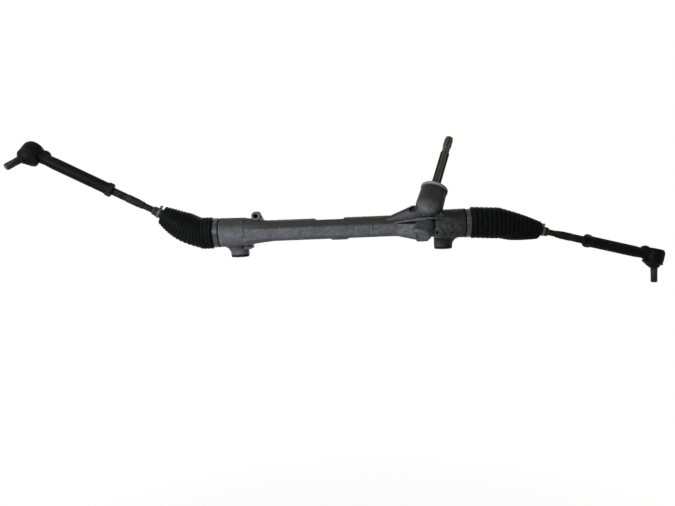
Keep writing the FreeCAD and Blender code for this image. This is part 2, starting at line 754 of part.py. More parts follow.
def rack_housing():
    """One aluminium casting: tube, ends, lugs, pinion tower, guide boss and small bosses."""
    left, right = SIDES
    left_inner = LEFT_SHOULDER_X + LEFT_END_LENGTH
    right_inner = RIGHT_SHOULDER_X - RIGHT_END_LENGTH
    body = along_rack(rod(TUBE_RADIUS, left_inner - 2, PINION_X + 10))
    cone_radius = END_RADIUS - END_TAPER - 0.2
    left_cone = along_rack(
        turned(
            (0, left_inner - 1),
            (cone_radius, left_inner - 1),
            (TUBE_RADIUS + 0.56 * (cone_radius - TUBE_RADIUS), left_inner + 0.45 * LEFT_CONE_LENGTH),
            (TUBE_RADIUS + 0.28 * (cone_radius - TUBE_RADIUS), left_inner + 0.8 * LEFT_CONE_LENGTH),
            (TUBE_RADIUS, left_inner + 1.2 * LEFT_CONE_LENGTH),
            (0, left_inner + 1.2 * LEFT_CONE_LENGTH),
        )
    )
    right_cone = along_rack(
        turned(
            (0, right_inner - RIGHT_CONE_LENGTH),
            (TUBE_RADIUS, right_inner - RIGHT_CONE_LENGTH),
            (END_RADIUS - END_TAPER - 1.2, right_inner + 1),
            (0, right_inner + 1),
        )
    )
    solids = [
        left_cone,
        right_cone,
        housing_end(left, LEFT_END_LENGTH),
        housing_end(right, RIGHT_END_LENGTH),
        faceted_tube(),
        middle_pad(),
        tower(),
        guide_housing(),
        gusset(),
        fairing(),
        ledge(),
        shoulder_web(),
        top_boss(),
        front_boss(),
        lug_ear(),
    ]
    solids += [lug(x, side.sign) for x, side in zip(LUG_X, SIDES)]
    solids += [tube_fin(TOP_BOSS_X, LEFT_FIN_END_X), tube_fin(RIGHT_FIN_START_X, GUSSET_START_X + 8)]
    body = body.fuse(solids)
    bush_bore = RACK_RADIUS + RUNNING_CLEARANCE + BUSH_WALL + SEAT_CLEARANCE
    bores = [
        along_rack(rod(TUBE_BORE_RADIUS, LEFT_STOP_X - 4, RIGHT_STOP_X + 4)),
        along_rack(rod(bush_bore, BUSH_START_X - SEAT_CLEARANCE, BUSH_START_X + BUSH_LENGTH)),
        end_bore(left, LEFT_STOP_X),
        end_bore(right, RIGHT_STOP_X),
        pinion_bores(),
        on_guide(rod(GUIDE_RADIUS + RUNNING_CLEARANCE, 0, GUIDE_HOUSING_END + 1)),
        Part.makeCylinder(
            TOP_BOSS_HOLE_RADIUS,
            TOP_BOSS_HOLE_DEPTH + 1,
            Vector(TOP_BOSS_X, RACK_Y - TOP_BOSS_LENGTH / 2 - 1, RACK_Z + TOP_BOSS_HEIGHT),
            Vector(0, 1, 0),
        ),
        Part.makeCylinder(
            FRONT_HOLE_RADIUS,
            FRONT_HOLE_DEPTH + 1,
            Vector(FRONT_BOSS_X, RACK_Y - FRONT_BOSS_REACH - 1, RACK_Z - FRONT_BOSS_DROP),
            Vector(0, 1, 0),
        ),
    ]
    for x in LUG_X:
        hole = rod(MOUNT_RUBBER_RADIUS + SEAT_CLEARANCE, LUG_BOTTOM_Z - 1, RACK_Z + END_RADIUS)
        hole.translate(Vector(x, 0, 0))
        bores.append(hole)
    body = body.cut(bores)
    return body.removeSplitter()


def mount_sleeve(x):
    """Steel sleeve that the mounting bolt passes through."""
    sleeve = ring(MOUNT_BOLT_RADIUS, MOUNT_SLEEVE_RADIUS, 0, LUG_TOP_Z + LUG_BOTTOM_Z)
    sleeve.translate(Vector(x, 0, 0))
    return sleeve


def mount_rubber(x):
    """Rubber bush between the sleeve and the lug, with a flange under the lug."""
    inner = MOUNT_SLEEVE_RADIUS + SEAT_CLEARANCE
    low = MOUNT_SLEEVE_PROUD
    high = LUG_TOP_Z + LUG_BOTTOM_Z - MOUNT_SLEEVE_PROUD
    lug_low = LUG_BOTTOM_Z - SEAT_CLEARANCE
    rubber = turned(
        (inner, low),
        (MOUNT_FLANGE_RADIUS - 0.8, low),
        (MOUNT_FLANGE_RADIUS, low + 0.8),
        (MOUNT_FLANGE_RADIUS, lug_low),
        (MOUNT_RUBBER_RADIUS, lug_low),
        (MOUNT_RUBBER_RADIUS, LUG_TOP_Z),
        (MOUNT_RUBBER_RADIUS - 1.5, high),
        (inner, high),
    )
    rubber.translate(Vector(x, 0, 0))
    return rubber


def rack_bush():
    """Plain bearing that carries the rack's far end."""
    inner = RACK_RADIUS + RUNNING_CLEARANCE
    return along_rack(ring(inner, inner + BUSH_WALL, BUSH_START_X, BUSH_START_X + BUSH_LENGTH - 1))


def tooth_half_angle(radius):
    """Half of a pinion tooth's angle at a radius, in the plane across the pinion's axis."""
    pressure = math.atan(tangent(PRESSURE_ANGLE) / cosine(PINION_LEAN))
    base = PITCH_RADIUS * math.cos(pressure)
    width = MODULE * (math.pi / 2 + 2 * PROFILE_SHIFT * tangent(PRESSURE_ANGLE)) - BACKLASH
    at_pitch = width / cosine(PINION_LEAN) / (2 * PITCH_RADIUS)
    here = math.acos(min(1.0, base / max(radius, base)))
    return at_pitch + math.tan(pressure) - pressure - math.tan(here) + here


def pinion_section(height):
    """Outline of the pinion's seven teeth at one height, turned by the helix."""
    pressure = math.atan(tangent(PRESSURE_ANGLE) / cosine(PINION_LEAN))
    base = PITCH_RADIUS * math.cos(pressure)
    tip = PITCH_RADIUS + (PROFILE_SHIFT + PINION_ADDENDUM) * MODULE
    root = PITCH_RADIUS + (PROFILE_SHIFT - RACK_ADDENDUM - TOOTH_BOTTOM_CLEARANCE) * MODULE
    turn = height * tangent(PINION_LEAN) / PITCH_RADIUS
    pitch_angle = 2 * math.pi / PINION_TEETH
    flank = [base + (tip - base) * share for share in (0.0, 0.12, 0.35, 0.65, 1.0)]

    def at(radius, angle):
        return Vector(radius * math.cos(angle), radius * math.sin(angle), height)

    edges = []
    for tooth in range(PINION_TEETH):
        middle = tooth * pitch_angle + turn
        rising = [at(radius, middle - tooth_half_angle(radius)) for radius in flank]
        falling = [at(radius, middle + tooth_half_angle(radius)) for radius in reversed(flank)]
        foot = tooth_half_angle(base)
        low_left = at(root, middle - foot)
        low_right = at(root, middle + foot)
        next_foot = at(root, middle + pitch_angle - foot)
        up = Part.BSplineCurve()
        up.interpolate(rising)
        down = Part.BSplineCurve()
        down.interpolate(falling)
        edges += [
            Part.makeLine(low_left, rising[0]),
            up.toShape(),
            Part.Arc(rising[-1], at(tip, middle), falling[0]).toShape(),
            down.toShape(),
            Part.makeLine(falling[-1], low_right),
            Part.Arc(low_right, at(root, middle + pitch_angle / 2), next_foot).toShape(),
        ]
    return Part.Wire(edges)


def pinion_teeth():
    """Helical pinion lofted through turned sections."""
    half = PINION_FACE / 2
    steps = 6
    sections = [pinion_section(-half + PINION_FACE * k / steps) for k in range(steps + 1)]
    return Part.makeLoft(sections, True, False)


def lengthways_grooves(count, outline, start, end):
    """Equal grooves around a shaft, from an outline of (radius, half width) points."""
    points = [Vector(r, w, start) for r, w in outline] + [Vector(r, -w, start) for r, w in reversed(outline)]
    tool = Part.Face(Part.makePolygon(points + points[:1])).extrude(Vector(0, 0, end - start))
    tools = []
    for k in range(count):
        one = tool.copy()
        one.rotate(Vector(0, 0, 0), Vector(0, 0, 1), 360 * k / count)
        tools.append(one)
    return tools


def pinion_shaft():
    """Pinion and input shaft in one piece, with a fluted shaft and a grooved tip."""
    half = PINION_FACE / 2
    lower = LOWER_JOURNAL_RADIUS
    upper = BEARING_BORE_RADIUS
    stem = turned(
        (0, LOWER_JOURNAL_END),
        (lower - 0.8, LOWER_JOURNAL_END),
        (lower, LOWER_JOURNAL_END + 0.8),
        (lower, -half + 1),
        (5.0, -half + 2),
        (5.0, half - 2),
        (upper - 1.5, half),
        (upper - 1.5, BEARING_START - 2),
        (upper + 1.4, BEARING_START - 2),
        (upper + 1.4, BEARING_START - SEAT_CLEARANCE),
        (upper, BEARING_START - SEAT_CLEARANCE),
        (upper, BEARING_START + BEARING_WIDTH + 1),
        (upper - 0.6, BEARING_START + BEARING_WIDTH + 2),
        (SHAFT_RADIUS, BEARING_START + BEARING_WIDTH + 4),
        (SHAFT_RADIUS, WAIST_START - 1.5),
        (WAIST_RADIUS, WAIST_START),
        (WAIST_RADIUS, TIP_START - 0.8),
        (TIP_RADIUS, TIP_START),
        (TIP_RADIUS, PILOT_START - 0.8),
        (PILOT_RADIUS, PILOT_START),
        (PILOT_RADIUS, SHAFT_END - 0.8),
        (PILOT_RADIUS - 0.8, SHAFT_END),
        (0, SHAFT_END),
    )
    flutes = lengthways_grooves(
        SHAFT_FLUTES,
        (
            (SHAFT_RADIUS + 1, FLUTE_WIDTH / 2 + 0.5),
            (SHAFT_RADIUS - FLUTE_DEPTH, FLUTE_WIDTH / 2 - 0.3),
        ),
        FLUTE_START,
        WAIST_START + 1,
    )
    ridge = TIP_RADIUS * math.pi / TIP_GROOVES
    grooves = lengthways_grooves(
        TIP_GROOVES,
        ((TIP_RADIUS + 0.6, ridge * 1.7), (TIP_RADIUS - TIP_GROOVE_DEPTH, 0.08)),
        TIP_START - 1,
        PILOT_START,
    )
    shaft = stem.fuse(pinion_teeth()).cut(flutes + grooves)
    return on_pinion(shaft)


def rack_bar():
    """Round bar with its teeth cut across the side that faces the pinion, and a threaded hole in each end."""
    half = math.pi * MODULE / 4
    pitch = math.pi * MODULE
    low = RACK_DATUM - (PINION_ADDENDUM + TOOTH_BOTTOM_CLEARANCE) * MODULE
    tip = RACK_DATUM + RACK_ADDENDUM * MODULE
    wide = half + (tip - RACK_DATUM) * tangent(PRESSURE_ANGLE)
    narrow = half - (RACK_DATUM - low) * tangent(PRESSURE_ANGLE)
    above = RACK_RADIUS + 2
    first = PINION_X + pitch * (round(RACK_TEETH_CENTRE / pitch) - (RACK_TEETH - 1) / 2)
    last = first + pitch * (RACK_TEETH - 1)
    points = [(first - pitch / 2 - (above - tip), above), (first - pitch / 2, tip)]
    for k in range(RACK_TEETH):
        middle = first + pitch * k
        points += [(middle - wide, tip), (middle - narrow, low), (middle + narrow, low), (middle + wide, tip)]
    points += [(last + pitch / 2, tip), (last + pitch / 2 + (above - tip), above)]
    wire = Part.makePolygon([Vector(x, -RACK_RADIUS - 1, z) for x, z in points + points[:1]])
    comb = Part.Face(wire).extrude(Vector(0, 2 * RACK_RADIUS + 2, 0))
    chamfer = 1.0
    bar = turned(
        (0, LEFT_RACK_END),
        (RACK_RADIUS - chamfer, LEFT_RACK_END),
        (RACK_RADIUS, LEFT_RACK_END + chamfer),
        (RACK_RADIUS, RIGHT_RACK_END - chamfer),
        (RACK_RADIUS - chamfer, RIGHT_RACK_END),
        (0, RIGHT_RACK_END),
    )
    hole = SOCKET_STUD_RADIUS + SEAT_CLEARANCE
    deep = SOCKET_STUD_LENGTH + 2
    bores = [
        rod(hole, LEFT_RACK_END - 1, LEFT_RACK_END + deep),
        rod(hole, RIGHT_RACK_END - deep, RIGHT_RACK_END + 1),
    ]
    bar = bar.cut(bores)
    lying = placed(bar, Vector(0, 0, 0), Vector(1, 0, 0), Vector(0, 0, 1))
    toothed = lying.cut(comb)
    return placed(toothed, Vector(0, RACK_Y, RACK_Z), TO_PINION, Vector(1, 0, 0))


def ball_bearing():
    """Outer ring, inner ring and balls of the upper pinion bearing."""
    low = BEARING_START
    high = BEARING_START + BEARING_WIDTH
    middle = (low + high) / 2
    track = (BEARING_BORE_RADIUS + BEARING_OUTER_RADIUS) / 2
    groove = BEARING_BALL_RADIUS + RUNNING_CLEARANCE
    wall = 1.5
    torus = Part.makeTorus(track, groove, Vector(0, 0, middle))
    outer = ring(track + wall, BEARING_OUTER_RADIUS, low, high).cut(torus)
    inner = ring(BEARING_BORE_RADIUS + SEAT_CLEARANCE, track - wall, low, high).cut(torus)
    balls = [
        Part.makeSphere(
            BEARING_BALL_RADIUS,
            Vector(track * cosine(360 * k / BEARING_BALLS), track * sine(360 * k / BEARING_BALLS), middle),
        )
        for k in range(BEARING_BALLS)
    ]
    return on_pinion(outer), on_pinion(inner), on_pinion(Part.makeCompound(balls))


def needle_bearing():
    """Drawn cup of the lower pinion bearing."""
    low = LOWER_JOURNAL_END + 0.5
    return on_pinion(
        ring(LOWER_JOURNAL_RADIUS + RUNNING_CLEARANCE, NEEDLE_OUTER_RADIUS, low, low + NEEDLE_LENGTH)
    )


def end_cap():
    """Pressed cap under the lower pinion bearing."""
    low = LOWER_HOUSING_END - 0.6
    high = LOWER_HOUSING_END + END_CAP_THICKNESS - SEAT_CLEARANCE
    return on_pinion(
        turned(
            (0, low + 0.8),
            (END_CAP_RADIUS - 3.5, low + 0.8),
            (END_CAP_RADIUS - 2.7, low),
            (END_CAP_RADIUS - 0.6, low),
            (END_CAP_RADIUS, low + 0.6),
            (END_CAP_RADIUS, high),
            (0, high),
        )
    )


def snap_ring():
    """Open spring ring above the ball bearing, with two lugs for the pliers."""
    low = BEARING_START + BEARING_WIDTH + SEAT_CLEARANCE
    high = low + SNAP_RING_THICKNESS
    outer = BEARING_OUTER_RADIUS
    band = ring(outer - 2.2, outer, low, high)
    gap = Part.makeBox(8, 6, 4, Vector(outer - 6, -3, low - 1))
    eyes = []
    for y in (-4.6, 4.6):
        eye = Part.makeCylinder(1.9, SNAP_RING_THICKNESS, Vector(outer - 3.2, y, low))
        eyes.append(eye)
    holes = [Part.makeCylinder(0.9, 4, Vector(outer - 3.2, y, low - 1)) for y in (-4.6, 4.6)]
    return on_pinion(band.cut(gap).fuse(eyes).common(rod(outer, low, high)).cut(holes))


def shaft_seal():
    """Rubber lip seal around the input shaft."""
    outer = UPPER_BORE_RADIUS - SEAT_CLEARANCE
    inner = SHAFT_RADIUS + RUNNING_CLEARANCE
    low = SEAL_START
    high = low + SEAL_THICKNESS
    return on_pinion(
        turned(
            (outer - 3, low),
            (outer, low),
            (outer, high),
            (inner + 2.5, high),
            (inner, high - 2),
            (inner, high - 3),
            (inner + 2.5, high - 2),
            (outer - 3, high - 2),
        )
    )


def dust_cover():
    """Cone that shields the seal, pressed into the tower's rim."""
    inner = SHAFT_RADIUS + RUNNING_CLEARANCE
    outer = UPPER_BORE_RADIUS - SEAT_CLEARANCE
    low = TOWER_TOP - 9
    top = TOWER_TOP + DUST_COVER_HEIGHT
    return on_pinion(
        turned(
            (outer - 2, low),
            (outer, low),
            (outer, TOWER_TOP - 1),
            ((outer - 1.5, TOWER_TOP + 1.5), (outer - 5, TOWER_TOP + 3)),
            (inner + 2.2, top),
            (inner, top),
            (inner, top - 2.5),
            (outer - 6, TOWER_TOP + 0.5),
            (outer - 2, TOWER_TOP - 2.5),
        )
    )


def rack_guide():
    """Round slide that presses the rack against the pinion."""
    body = turned(
        (0, GUIDE_START),
        (GUIDE_RADIUS - 1, GUIDE_START),
        (GUIDE_RADIUS, GUIDE_START + 1),
        (GUIDE_RADIUS, GUIDE_END),
        (GUIDE_RADIUS - 4, GUIDE_END),
        (GUIDE_RADIUS - 4, GUIDE_END - 2),
        (0, GUIDE_END - 2),
    )
    saddle = RACK_RADIUS + RUNNING_CLEARANCE + GUIDE_PAD_THICKNESS + SEAT_CLEARANCE
    groove = Part.makeCylinder(saddle, 4 * GUIDE_RADIUS, Vector(-2 * GUIDE_RADIUS, 0, 0), Vector(1, 0, 0))
    return on_guide(body.cut(groove))


def guide_pad():
    """Curved liner between the guide and the back of the rack."""
    inner = RACK_RADIUS + RUNNING_CLEARANCE
    length = 2 * GUIDE_RADIUS - 8
    start = Vector(-length / 2, 0, 0)
    shell = Part.makeCylinder(inner + GUIDE_PAD_THICKNESS, length, start, Vector(1, 0, 0))
    shell = shell.cut(Part.makeCylinder(inner, length, start, Vector(1, 0, 0)))
    reach = 2 * inner
    spread = reach * tangent(GUIDE_PAD_ANGLE)
    points = [Vector(-length, 0, 0), Vector(-length, -spread, reach), Vector(-length, spread, reach)]
    wedge = Part.Face(Part.makePolygon(points + points[:1])).extrude(Vector(2 * length, 0, 0))
    return on_guide(shell.common(wedge))


def guide_springs():
    """Pair of disc springs behind the rack guide."""
    low = GUIDE_END - 2 + SEAT_CLEARANCE
    rise = GUIDE_SPRING_HEIGHT - GUIDE_SPRING_THICKNESS
    thick = GUIDE_SPRING_THICKNESS
    inner = 5.0
    outer = GUIDE_RADIUS - 4.6
    first = turned((inner, low + rise), (outer, low), (outer, low + thick), (inner, low + rise + thick))
    turn_over = low + rise + thick + SEAT_CLEARANCE
    second = turned(
        (inner, turn_over),
        (outer, turn_over + rise),
        (outer, turn_over + rise + thick),
        (inner, turn_over + thick),
    )
    return on_guide(Part.makeCompound([first, second]))


GUIDE_PLUG_START = GUIDE_END - 2 + 2 * GUIDE_SPRING_HEIGHT + 3 * SEAT_CLEARANCE


def guide_plug():
    """Threaded plug that sets the guide's play, with a hexagon socket."""
    plug = turned(
        (0, GUIDE_PLUG_START),
        (GUIDE_RADIUS - 1, GUIDE_PLUG_START),
        (GUIDE_RADIUS, GUIDE_PLUG_START + 1),
        (GUIDE_RADIUS, GUIDE_PLUG_END - 1),
        (GUIDE_RADIUS - 1, GUIDE_PLUG_END),
        (0, GUIDE_PLUG_END),
    )
    return on_guide(plug.cut(hexagon(GUIDE_KEY_FLATS, GUIDE_PLUG_END - 6, GUIDE_PLUG_END + 6)))


def guide_nut():
    """Flat hexagon nut that locks the plug."""
    low = GUIDE_HOUSING_END + SEAT_CLEARANCE
    nut = hexagon(GUIDE_NUT_FLATS, low, GUIDE_PLUG_END - 0.5)
    return on_guide(nut.cut(rod(GUIDE_RADIUS + SEAT_CLEARANCE, low - 1, GUIDE_PLUG_END + 1)))


def inner_socket(side):
    """Housing of the inner ball joint, screwed into the rack's end and crimped round the ball."""
    pocket = INNER_BALL_RADIUS + 2 * RUNNING_CLEARANCE + CUP_WALL
    ball = INNER_BALL_RADIUS + RUNNING_CLEARANCE
    body = turned(
        (0, -SOCKET_BACK - SOCKET_STUD_LENGTH),
        (SOCKET_STUD_RADIUS - 1, -SOCKET_BACK - SOCKET_STUD_LENGTH),
        (SOCKET_STUD_RADIUS, -SOCKET_BACK - SOCKET_STUD_LENGTH + 1),
        (SOCKET_STUD_RADIUS, -SOCKET_BACK),
        (SOCKET_RADIUS - 1, -SOCKET_BACK),
        (SOCKET_RADIUS, -SOCKET_BACK + 1),
        (SOCKET_RADIUS, SOCKET_LIP - 4),
        (SOCKET_RADIUS - 3.5, SOCKET_LIP),
        (0, SOCKET_LIP),
    )
    rear = Part.makeSphere(pocket).common(rod(pocket + 1, -pocket - 1, 0))
    front = Part.makeSphere(ball).common(rod(pocket + 1, -0.01, pocket + 1))
    far = 2 * INNER_BALL_RADIUS
    mouth = turned(
        (0, 0), (0.1, 0), (far * sine(MOUTH_ANGLE), far * cosine(MOUTH_ANGLE)), (0, far * cosine(MOUTH_ANGLE))
    )
    body = body.cut([rear, front, mouth])
    gap = SOCKET_RADIUS - SOCKET_FLATS / 2
    for sign in (-1, 1):
        flat = Part.makeBox(
            gap + 1,
            3 * SOCKET_RADIUS,
            SOCKET_FLATS_LENGTH,
            Vector(
                SOCKET_FLATS / 2 if sign > 0 else -SOCKET_RADIUS - 1, -1.5 * SOCKET_RADIUS, -SOCKET_BACK + 2
            ),
        )
        body = body.cut(flat)
    return side.on_rack(body)


def lock_washer(side):
    """Washer between the rack's end and the inner joint, bent over its flats."""
    inner = SOCKET_STUD_RADIUS + SEAT_CLEARANCE
    low = -SOCKET_BACK - LOCK_WASHER_THICKNESS + SEAT_CLEARANCE
    return side.on_rack(ring(inner, LOCK_WASHER_RADIUS, low, -SOCKET_BACK - SEAT_CLEARANCE))


def pressure_cup(side):
    """Plastic cup behind the inner ball."""
    inner = INNER_BALL_RADIUS + RUNNING_CLEARANCE
    outer = inner + CUP_WALL
    reach = outer / cosine(CUP_ANGLE)
    depth = -reach * cosine(CUP_ANGLE)
    cone = turned((0, 0), (reach * sine(CUP_ANGLE), depth), (0, depth - 12))
    shell = Part.makeSphere(outer).cut(Part.makeSphere(inner)).common(cone)
    return placed(shell, side.ball, side.flat, Vector(0, 0, 1))


def tie_rod(side):
    """Inner tie rod: ball, neck, bellows seat, waist, grip and thread."""
    radius = INNER_BALL_RADIUS
    neck = ROD_NECK_RADIUS
    meets = math.sqrt(radius**2 - neck**2)
    seat_end = ROD_SEAT_START + ROD_SEAT_LENGTH
    flat = 10.5
    back = -math.sqrt(radius**2 - (radius - flat) ** 2)
    shape = turned(
        (0, back),
        (radius - flat, back),
        ((radius, 0), (neck, meets)),
        (neck, ROD_NECK_END),
        (ROD_RADIUS, ROD_NECK_END + 6),
        (ROD_RADIUS, ROD_SEAT_START - 2),
        (ROD_SEAT_RADIUS, ROD_SEAT_START - 1),
        (ROD_SEAT_RADIUS, seat_end + 1),
        (ROD_WAIST_RADIUS, seat_end + 4),
        (ROD_WAIST_RADIUS, ROD_WAIST_END - 4),
        (ROD_RADIUS, ROD_WAIST_END),
        (ROD_RADIUS, ROD_GRIP_START),
        (ROD_GRIP_RADIUS, ROD_GRIP_START + 1.5),
        (ROD_GRIP_RADIUS, ROD_GRIP_END - 1.5),
        (ROD_RADIUS, ROD_GRIP_END),
        (ROD_RADIUS, ROD_THREAD_END - 1),
        (ROD_RADIUS - 1, ROD_THREAD_END),
        (0, ROD_THREAD_END),
    )
    return side.on_rod(shape)


def lock_nut(side):
    """Hexagon nut that locks the tie rod end on its thread."""
    end = LOCK_NUT_START + LOCK_NUT_LENGTH
    collar = 3.0
    nut = hexagon(LOCK_NUT_FLATS, LOCK_NUT_START, end - collar)
    skirt = turned(
        (0, end - collar - 1),
        (SLEEVE_RADIUS - 0.4, end - collar - 1),
        (SLEEVE_RADIUS - 0.4, end - collar),
        (SLEEVE_RADIUS + 0.6, end - collar + 1),
        (SLEEVE_RADIUS + 0.3, end),
        (0, end),
    )
    nut = nut.fuse(skirt).cut(rod(ROD_RADIUS + SEAT_CLEARANCE, LOCK_NUT_START - 1, end + 1))
    return side.on_rod(nut)


def tie_rod_end(side):
    """Forged end: threaded sleeve, neck and the head that holds the outer ball."""
    meets = TIE_ROD_LENGTH - HEAD_RADIUS + 5
    sleeve = turned(
        (0, SLEEVE_START),
        (SLEEVE_RADIUS - 0.8, SLEEVE_START),
        (SLEEVE_RADIUS, SLEEVE_START + 0.8),
        (SLEEVE_RADIUS, TIE_ROD_LENGTH - 2.3 * HEAD_RADIUS),
        (SLEEVE_RADIUS - 0.9, meets - 12),
        (SLEEVE_RADIUS + 0.6, meets),
        (0, meets),
    )
    sleeve = side.on_rod(sleeve)
    hump = Part.makeSphere(11.0)
    hump.translate(side.end_ball - side.rod * (HEAD_RADIUS + 2) - side.head * 5)
    lip = HEAD_FACE
    dome = HEAD_TOP + HEAD_DOME_HEIGHT
    head = turned(
        (0, HEAD_TOP),
        (HEAD_DOME_RADIUS + 0.8, HEAD_TOP),
        (
            (HEAD_RADIUS - 0.9, HEAD_TOP + HEAD_DOME_HEIGHT * 0.48),
            (HEAD_RADIUS, dome),
        ),
        (HEAD_RADIUS, lip - 2.5),
        (HEAD_RADIUS - 0.8, lip),
        (0, lip),
    )
    shell = SHELL_RADIUS + RUNNING_CLEARANCE
    mouth = OUTER_BALL_RADIUS + RUNNING_CLEARANCE
    mouth_radius = mouth * sine(OUTER_MOUTH_ANGLE) + 0.6
    mouth_height = mouth * cosine(OUTER_MOUTH_ANGLE) + 0.4
    plate = HEAD_TOP + CAP_PLATE_THICKNESS + 0.6
    cavity = turned(
        (0, HEAD_TOP - 1),
        (CAP_PLATE_RADIUS - 0.8, HEAD_TOP - 1),
        (CAP_PLATE_RADIUS - 0.8, HEAD_TOP + 0.6),
        (CAP_PLATE_RADIUS + SEAT_CLEARANCE, HEAD_TOP + 0.6),
        (CAP_PLATE_RADIUS + SEAT_CLEARANCE, plate),
        (shell, plate),
        (shell, 2.5),
        (mouth_radius, mouth_height),
        (mouth_radius + 4.4, lip + 1),
        (0, lip + 1),
    )
    bore = side.on_rod(rod(ROD_RADIUS + SEAT_CLEARANCE, SLEEVE_START - 1, SLEEVE_BORE_END))
    body = sleeve.fuse([hump, side.on_head(head)]).cut([bore, side.on_head(cavity)])
    return body.removeSplitter()


def cap_plate(side):
    """Round plate rolled into the head behind the ball."""
    low = HEAD_TOP + 0.6 + SEAT_CLEARANCE
    high = HEAD_TOP + CAP_PLATE_THICKNESS + 0.6 - SEAT_CLEARANCE
    dish = CAP_PLATE_RADIUS / 2
    plate = turned(
        (0, low + 0.5),
        (dish - 2, low + 0.5),
        (dish, low),
        (CAP_PLATE_RADIUS, low),
        (CAP_PLATE_RADIUS, high),
        (0, high),
    )
    return side.on_head(plate)


def ball_shell(side):
    """Plastic shell that the outer ball turns in."""
    inner = OUTER_BALL_RADIUS + RUNNING_CLEARANCE
    low = HEAD_TOP + CAP_PLATE_THICKNESS + 0.6 + RUNNING_CLEARANCE
    mouth_radius = inner * sine(OUTER_MOUTH_ANGLE)
    mouth_height = inner * cosine(OUTER_MOUTH_ANGLE)
    body = turned(
        (0, low),
        (SHELL_RADIUS, low),
        (SHELL_RADIUS, 2.4),
        (mouth_radius + 0.5, mouth_height + 0.1),
        (0, mouth_height + 0.1),
    )
    return side.on_head(body.cut(Part.makeSphere(inner)))


def ball_stud(side):
    """Outer ball stud: ball, neck, taper and thread."""
    radius = OUTER_BALL_RADIUS
    neck = STUD_NECK_RADIUS
    meets = math.sqrt(radius**2 - neck**2)
    flat = 3.0
    back = -math.sqrt(radius**2 - flat**2)
    stud = turned(
        (0, back),
        (flat, back),
        ((radius, 0), (neck, meets)),
        (neck, meets + 3),
        (STUD_TAPER_RADIUS, STUD_TAPER_START),
        (STUD_THREAD_RADIUS + 0.1, STUD_THREAD_START - 1),
        (STUD_THREAD_RADIUS, STUD_THREAD_START),
        (STUD_THREAD_RADIUS, STUD_LENGTH - 1.2),
        (STUD_THREAD_RADIUS - 1.2, STUD_LENGTH),
        (0, STUD_LENGTH),
    )
    return side.on_stud(stud)


def route(corner, start_way, end_way, before, bend, after, count):
    """Evenly spaced (centre, direction) pairs on two straight lines joined by an arc about a corner."""
    angle = start_way.getAngle(end_way)
    radius = bend / math.tan(angle / 2)
    arc = radius * angle
    total = before + arc + after
    pairs = []
    for k in range(count + 1):
        here = total * k / count
        if here <= before:
            pairs.append((corner - start_way * (bend + before - here), start_way))
        elif here >= before + arc:
            pairs.append((corner + end_way * (bend + here - before - arc), end_way))
        else:
            turn = (here - before) / radius
            axis = start_way.cross(end_way).normalize()
            way = FreeCAD.Rotation(axis, math.degrees(turn)).multVec(start_way)
            chord = 2 * radius * math.sin(turn / 2)
            step = FreeCAD.Rotation(axis, math.degrees(turn / 2)).multVec(start_way)
            pairs.append((corner - start_way * bend + step * chord, way))
    return pairs


def bellows(side):
    """Corrugated boot from the housing's spigot to the seat on the tie rod."""
    shoulder = abs(side.shoulder_x)
    collar_start = side.out * (shoulder + 0.4) + Vector(0, RACK_Y, RACK_Z)
    collar_end = side.out * (shoulder + SPIGOT_LENGTH + 0.6) + Vector(0, RACK_Y, RACK_Z)
    bend = 15.0
    before = (side.ball - collar_end).Length - bend
    count = 2 * BELLOWS_CONVOLUTIONS
    reach = BELLOWS_NECK_START
    stations = route(side.ball, side.out, side.rod, max(before, 0.5), bend, reach - bend, count)
    outer = [(collar_start, side.out, BELLOWS_COLLAR_RADIUS)]
    inner = [(collar_start - side.out, side.out, SPIGOT_RADIUS + SOFT_CLEARANCE)]
    inner.append((collar_end - side.out * 0.3, side.out, SPIGOT_RADIUS + SOFT_CLEARANCE))
    for k, (centre, way) in enumerate(stations):
        beyond = max(0.0, (centre - side.ball).dot(side.rod))
        share = max(0.0, beyond - BELLOWS_TAPER_START) / (reach - BELLOWS_TAPER_START)
        drop = (BELLOWS_CREST_RADIUS - BELLOWS_END_RADIUS) * share**BELLOWS_TAPER_POWER
        crest = BELLOWS_CREST_RADIUS - drop
        valley = crest - BELLOWS_DEPTH
        centre = centre + side.down * (BELLOWS_SAG * sine(180 * min(1.0, beyond / reach)))
        if k == 0:
            outer.append((centre, way, BELLOWS_COLLAR_RADIUS))
        else:
            outer.append((centre, way, crest if k % 2 else valley))
        if k % 4 == 0 and k < count:
            inner.append((centre, way, min(valley, SPIGOT_RADIUS) - BELLOWS_WALL))
    clip_end = CLIP_START + CLIP_WIDTH
    neck = (
        (reach + 2, BELLOWS_NECK_RADIUS),
        (clip_end + 1, BELLOWS_NECK_RADIUS),
        (BELLOWS_NECK_END, BELLOWS_TIP_RADIUS),
    )
    hole = ROD_SEAT_RADIUS + SOFT_CLEARANCE
    outer += [(side.ball + side.rod * along, side.rod, radius) for along, radius in neck]
    inner += [
        (side.ball + side.rod * (reach - 3), side.rod, BELLOWS_END_RADIUS - BELLOWS_DEPTH - BELLOWS_WALL),
        (side.ball + side.rod * (reach + 1), side.rod, hole + 1.2),
        (side.ball + side.rod * ROD_SEAT_START, side.rod, hole),
        (side.ball + side.rod * (BELLOWS_NECK_END + 1), side.rod, hole),
    ]
    return skin(outer, side.bend).cut(skin(inner, side.bend))


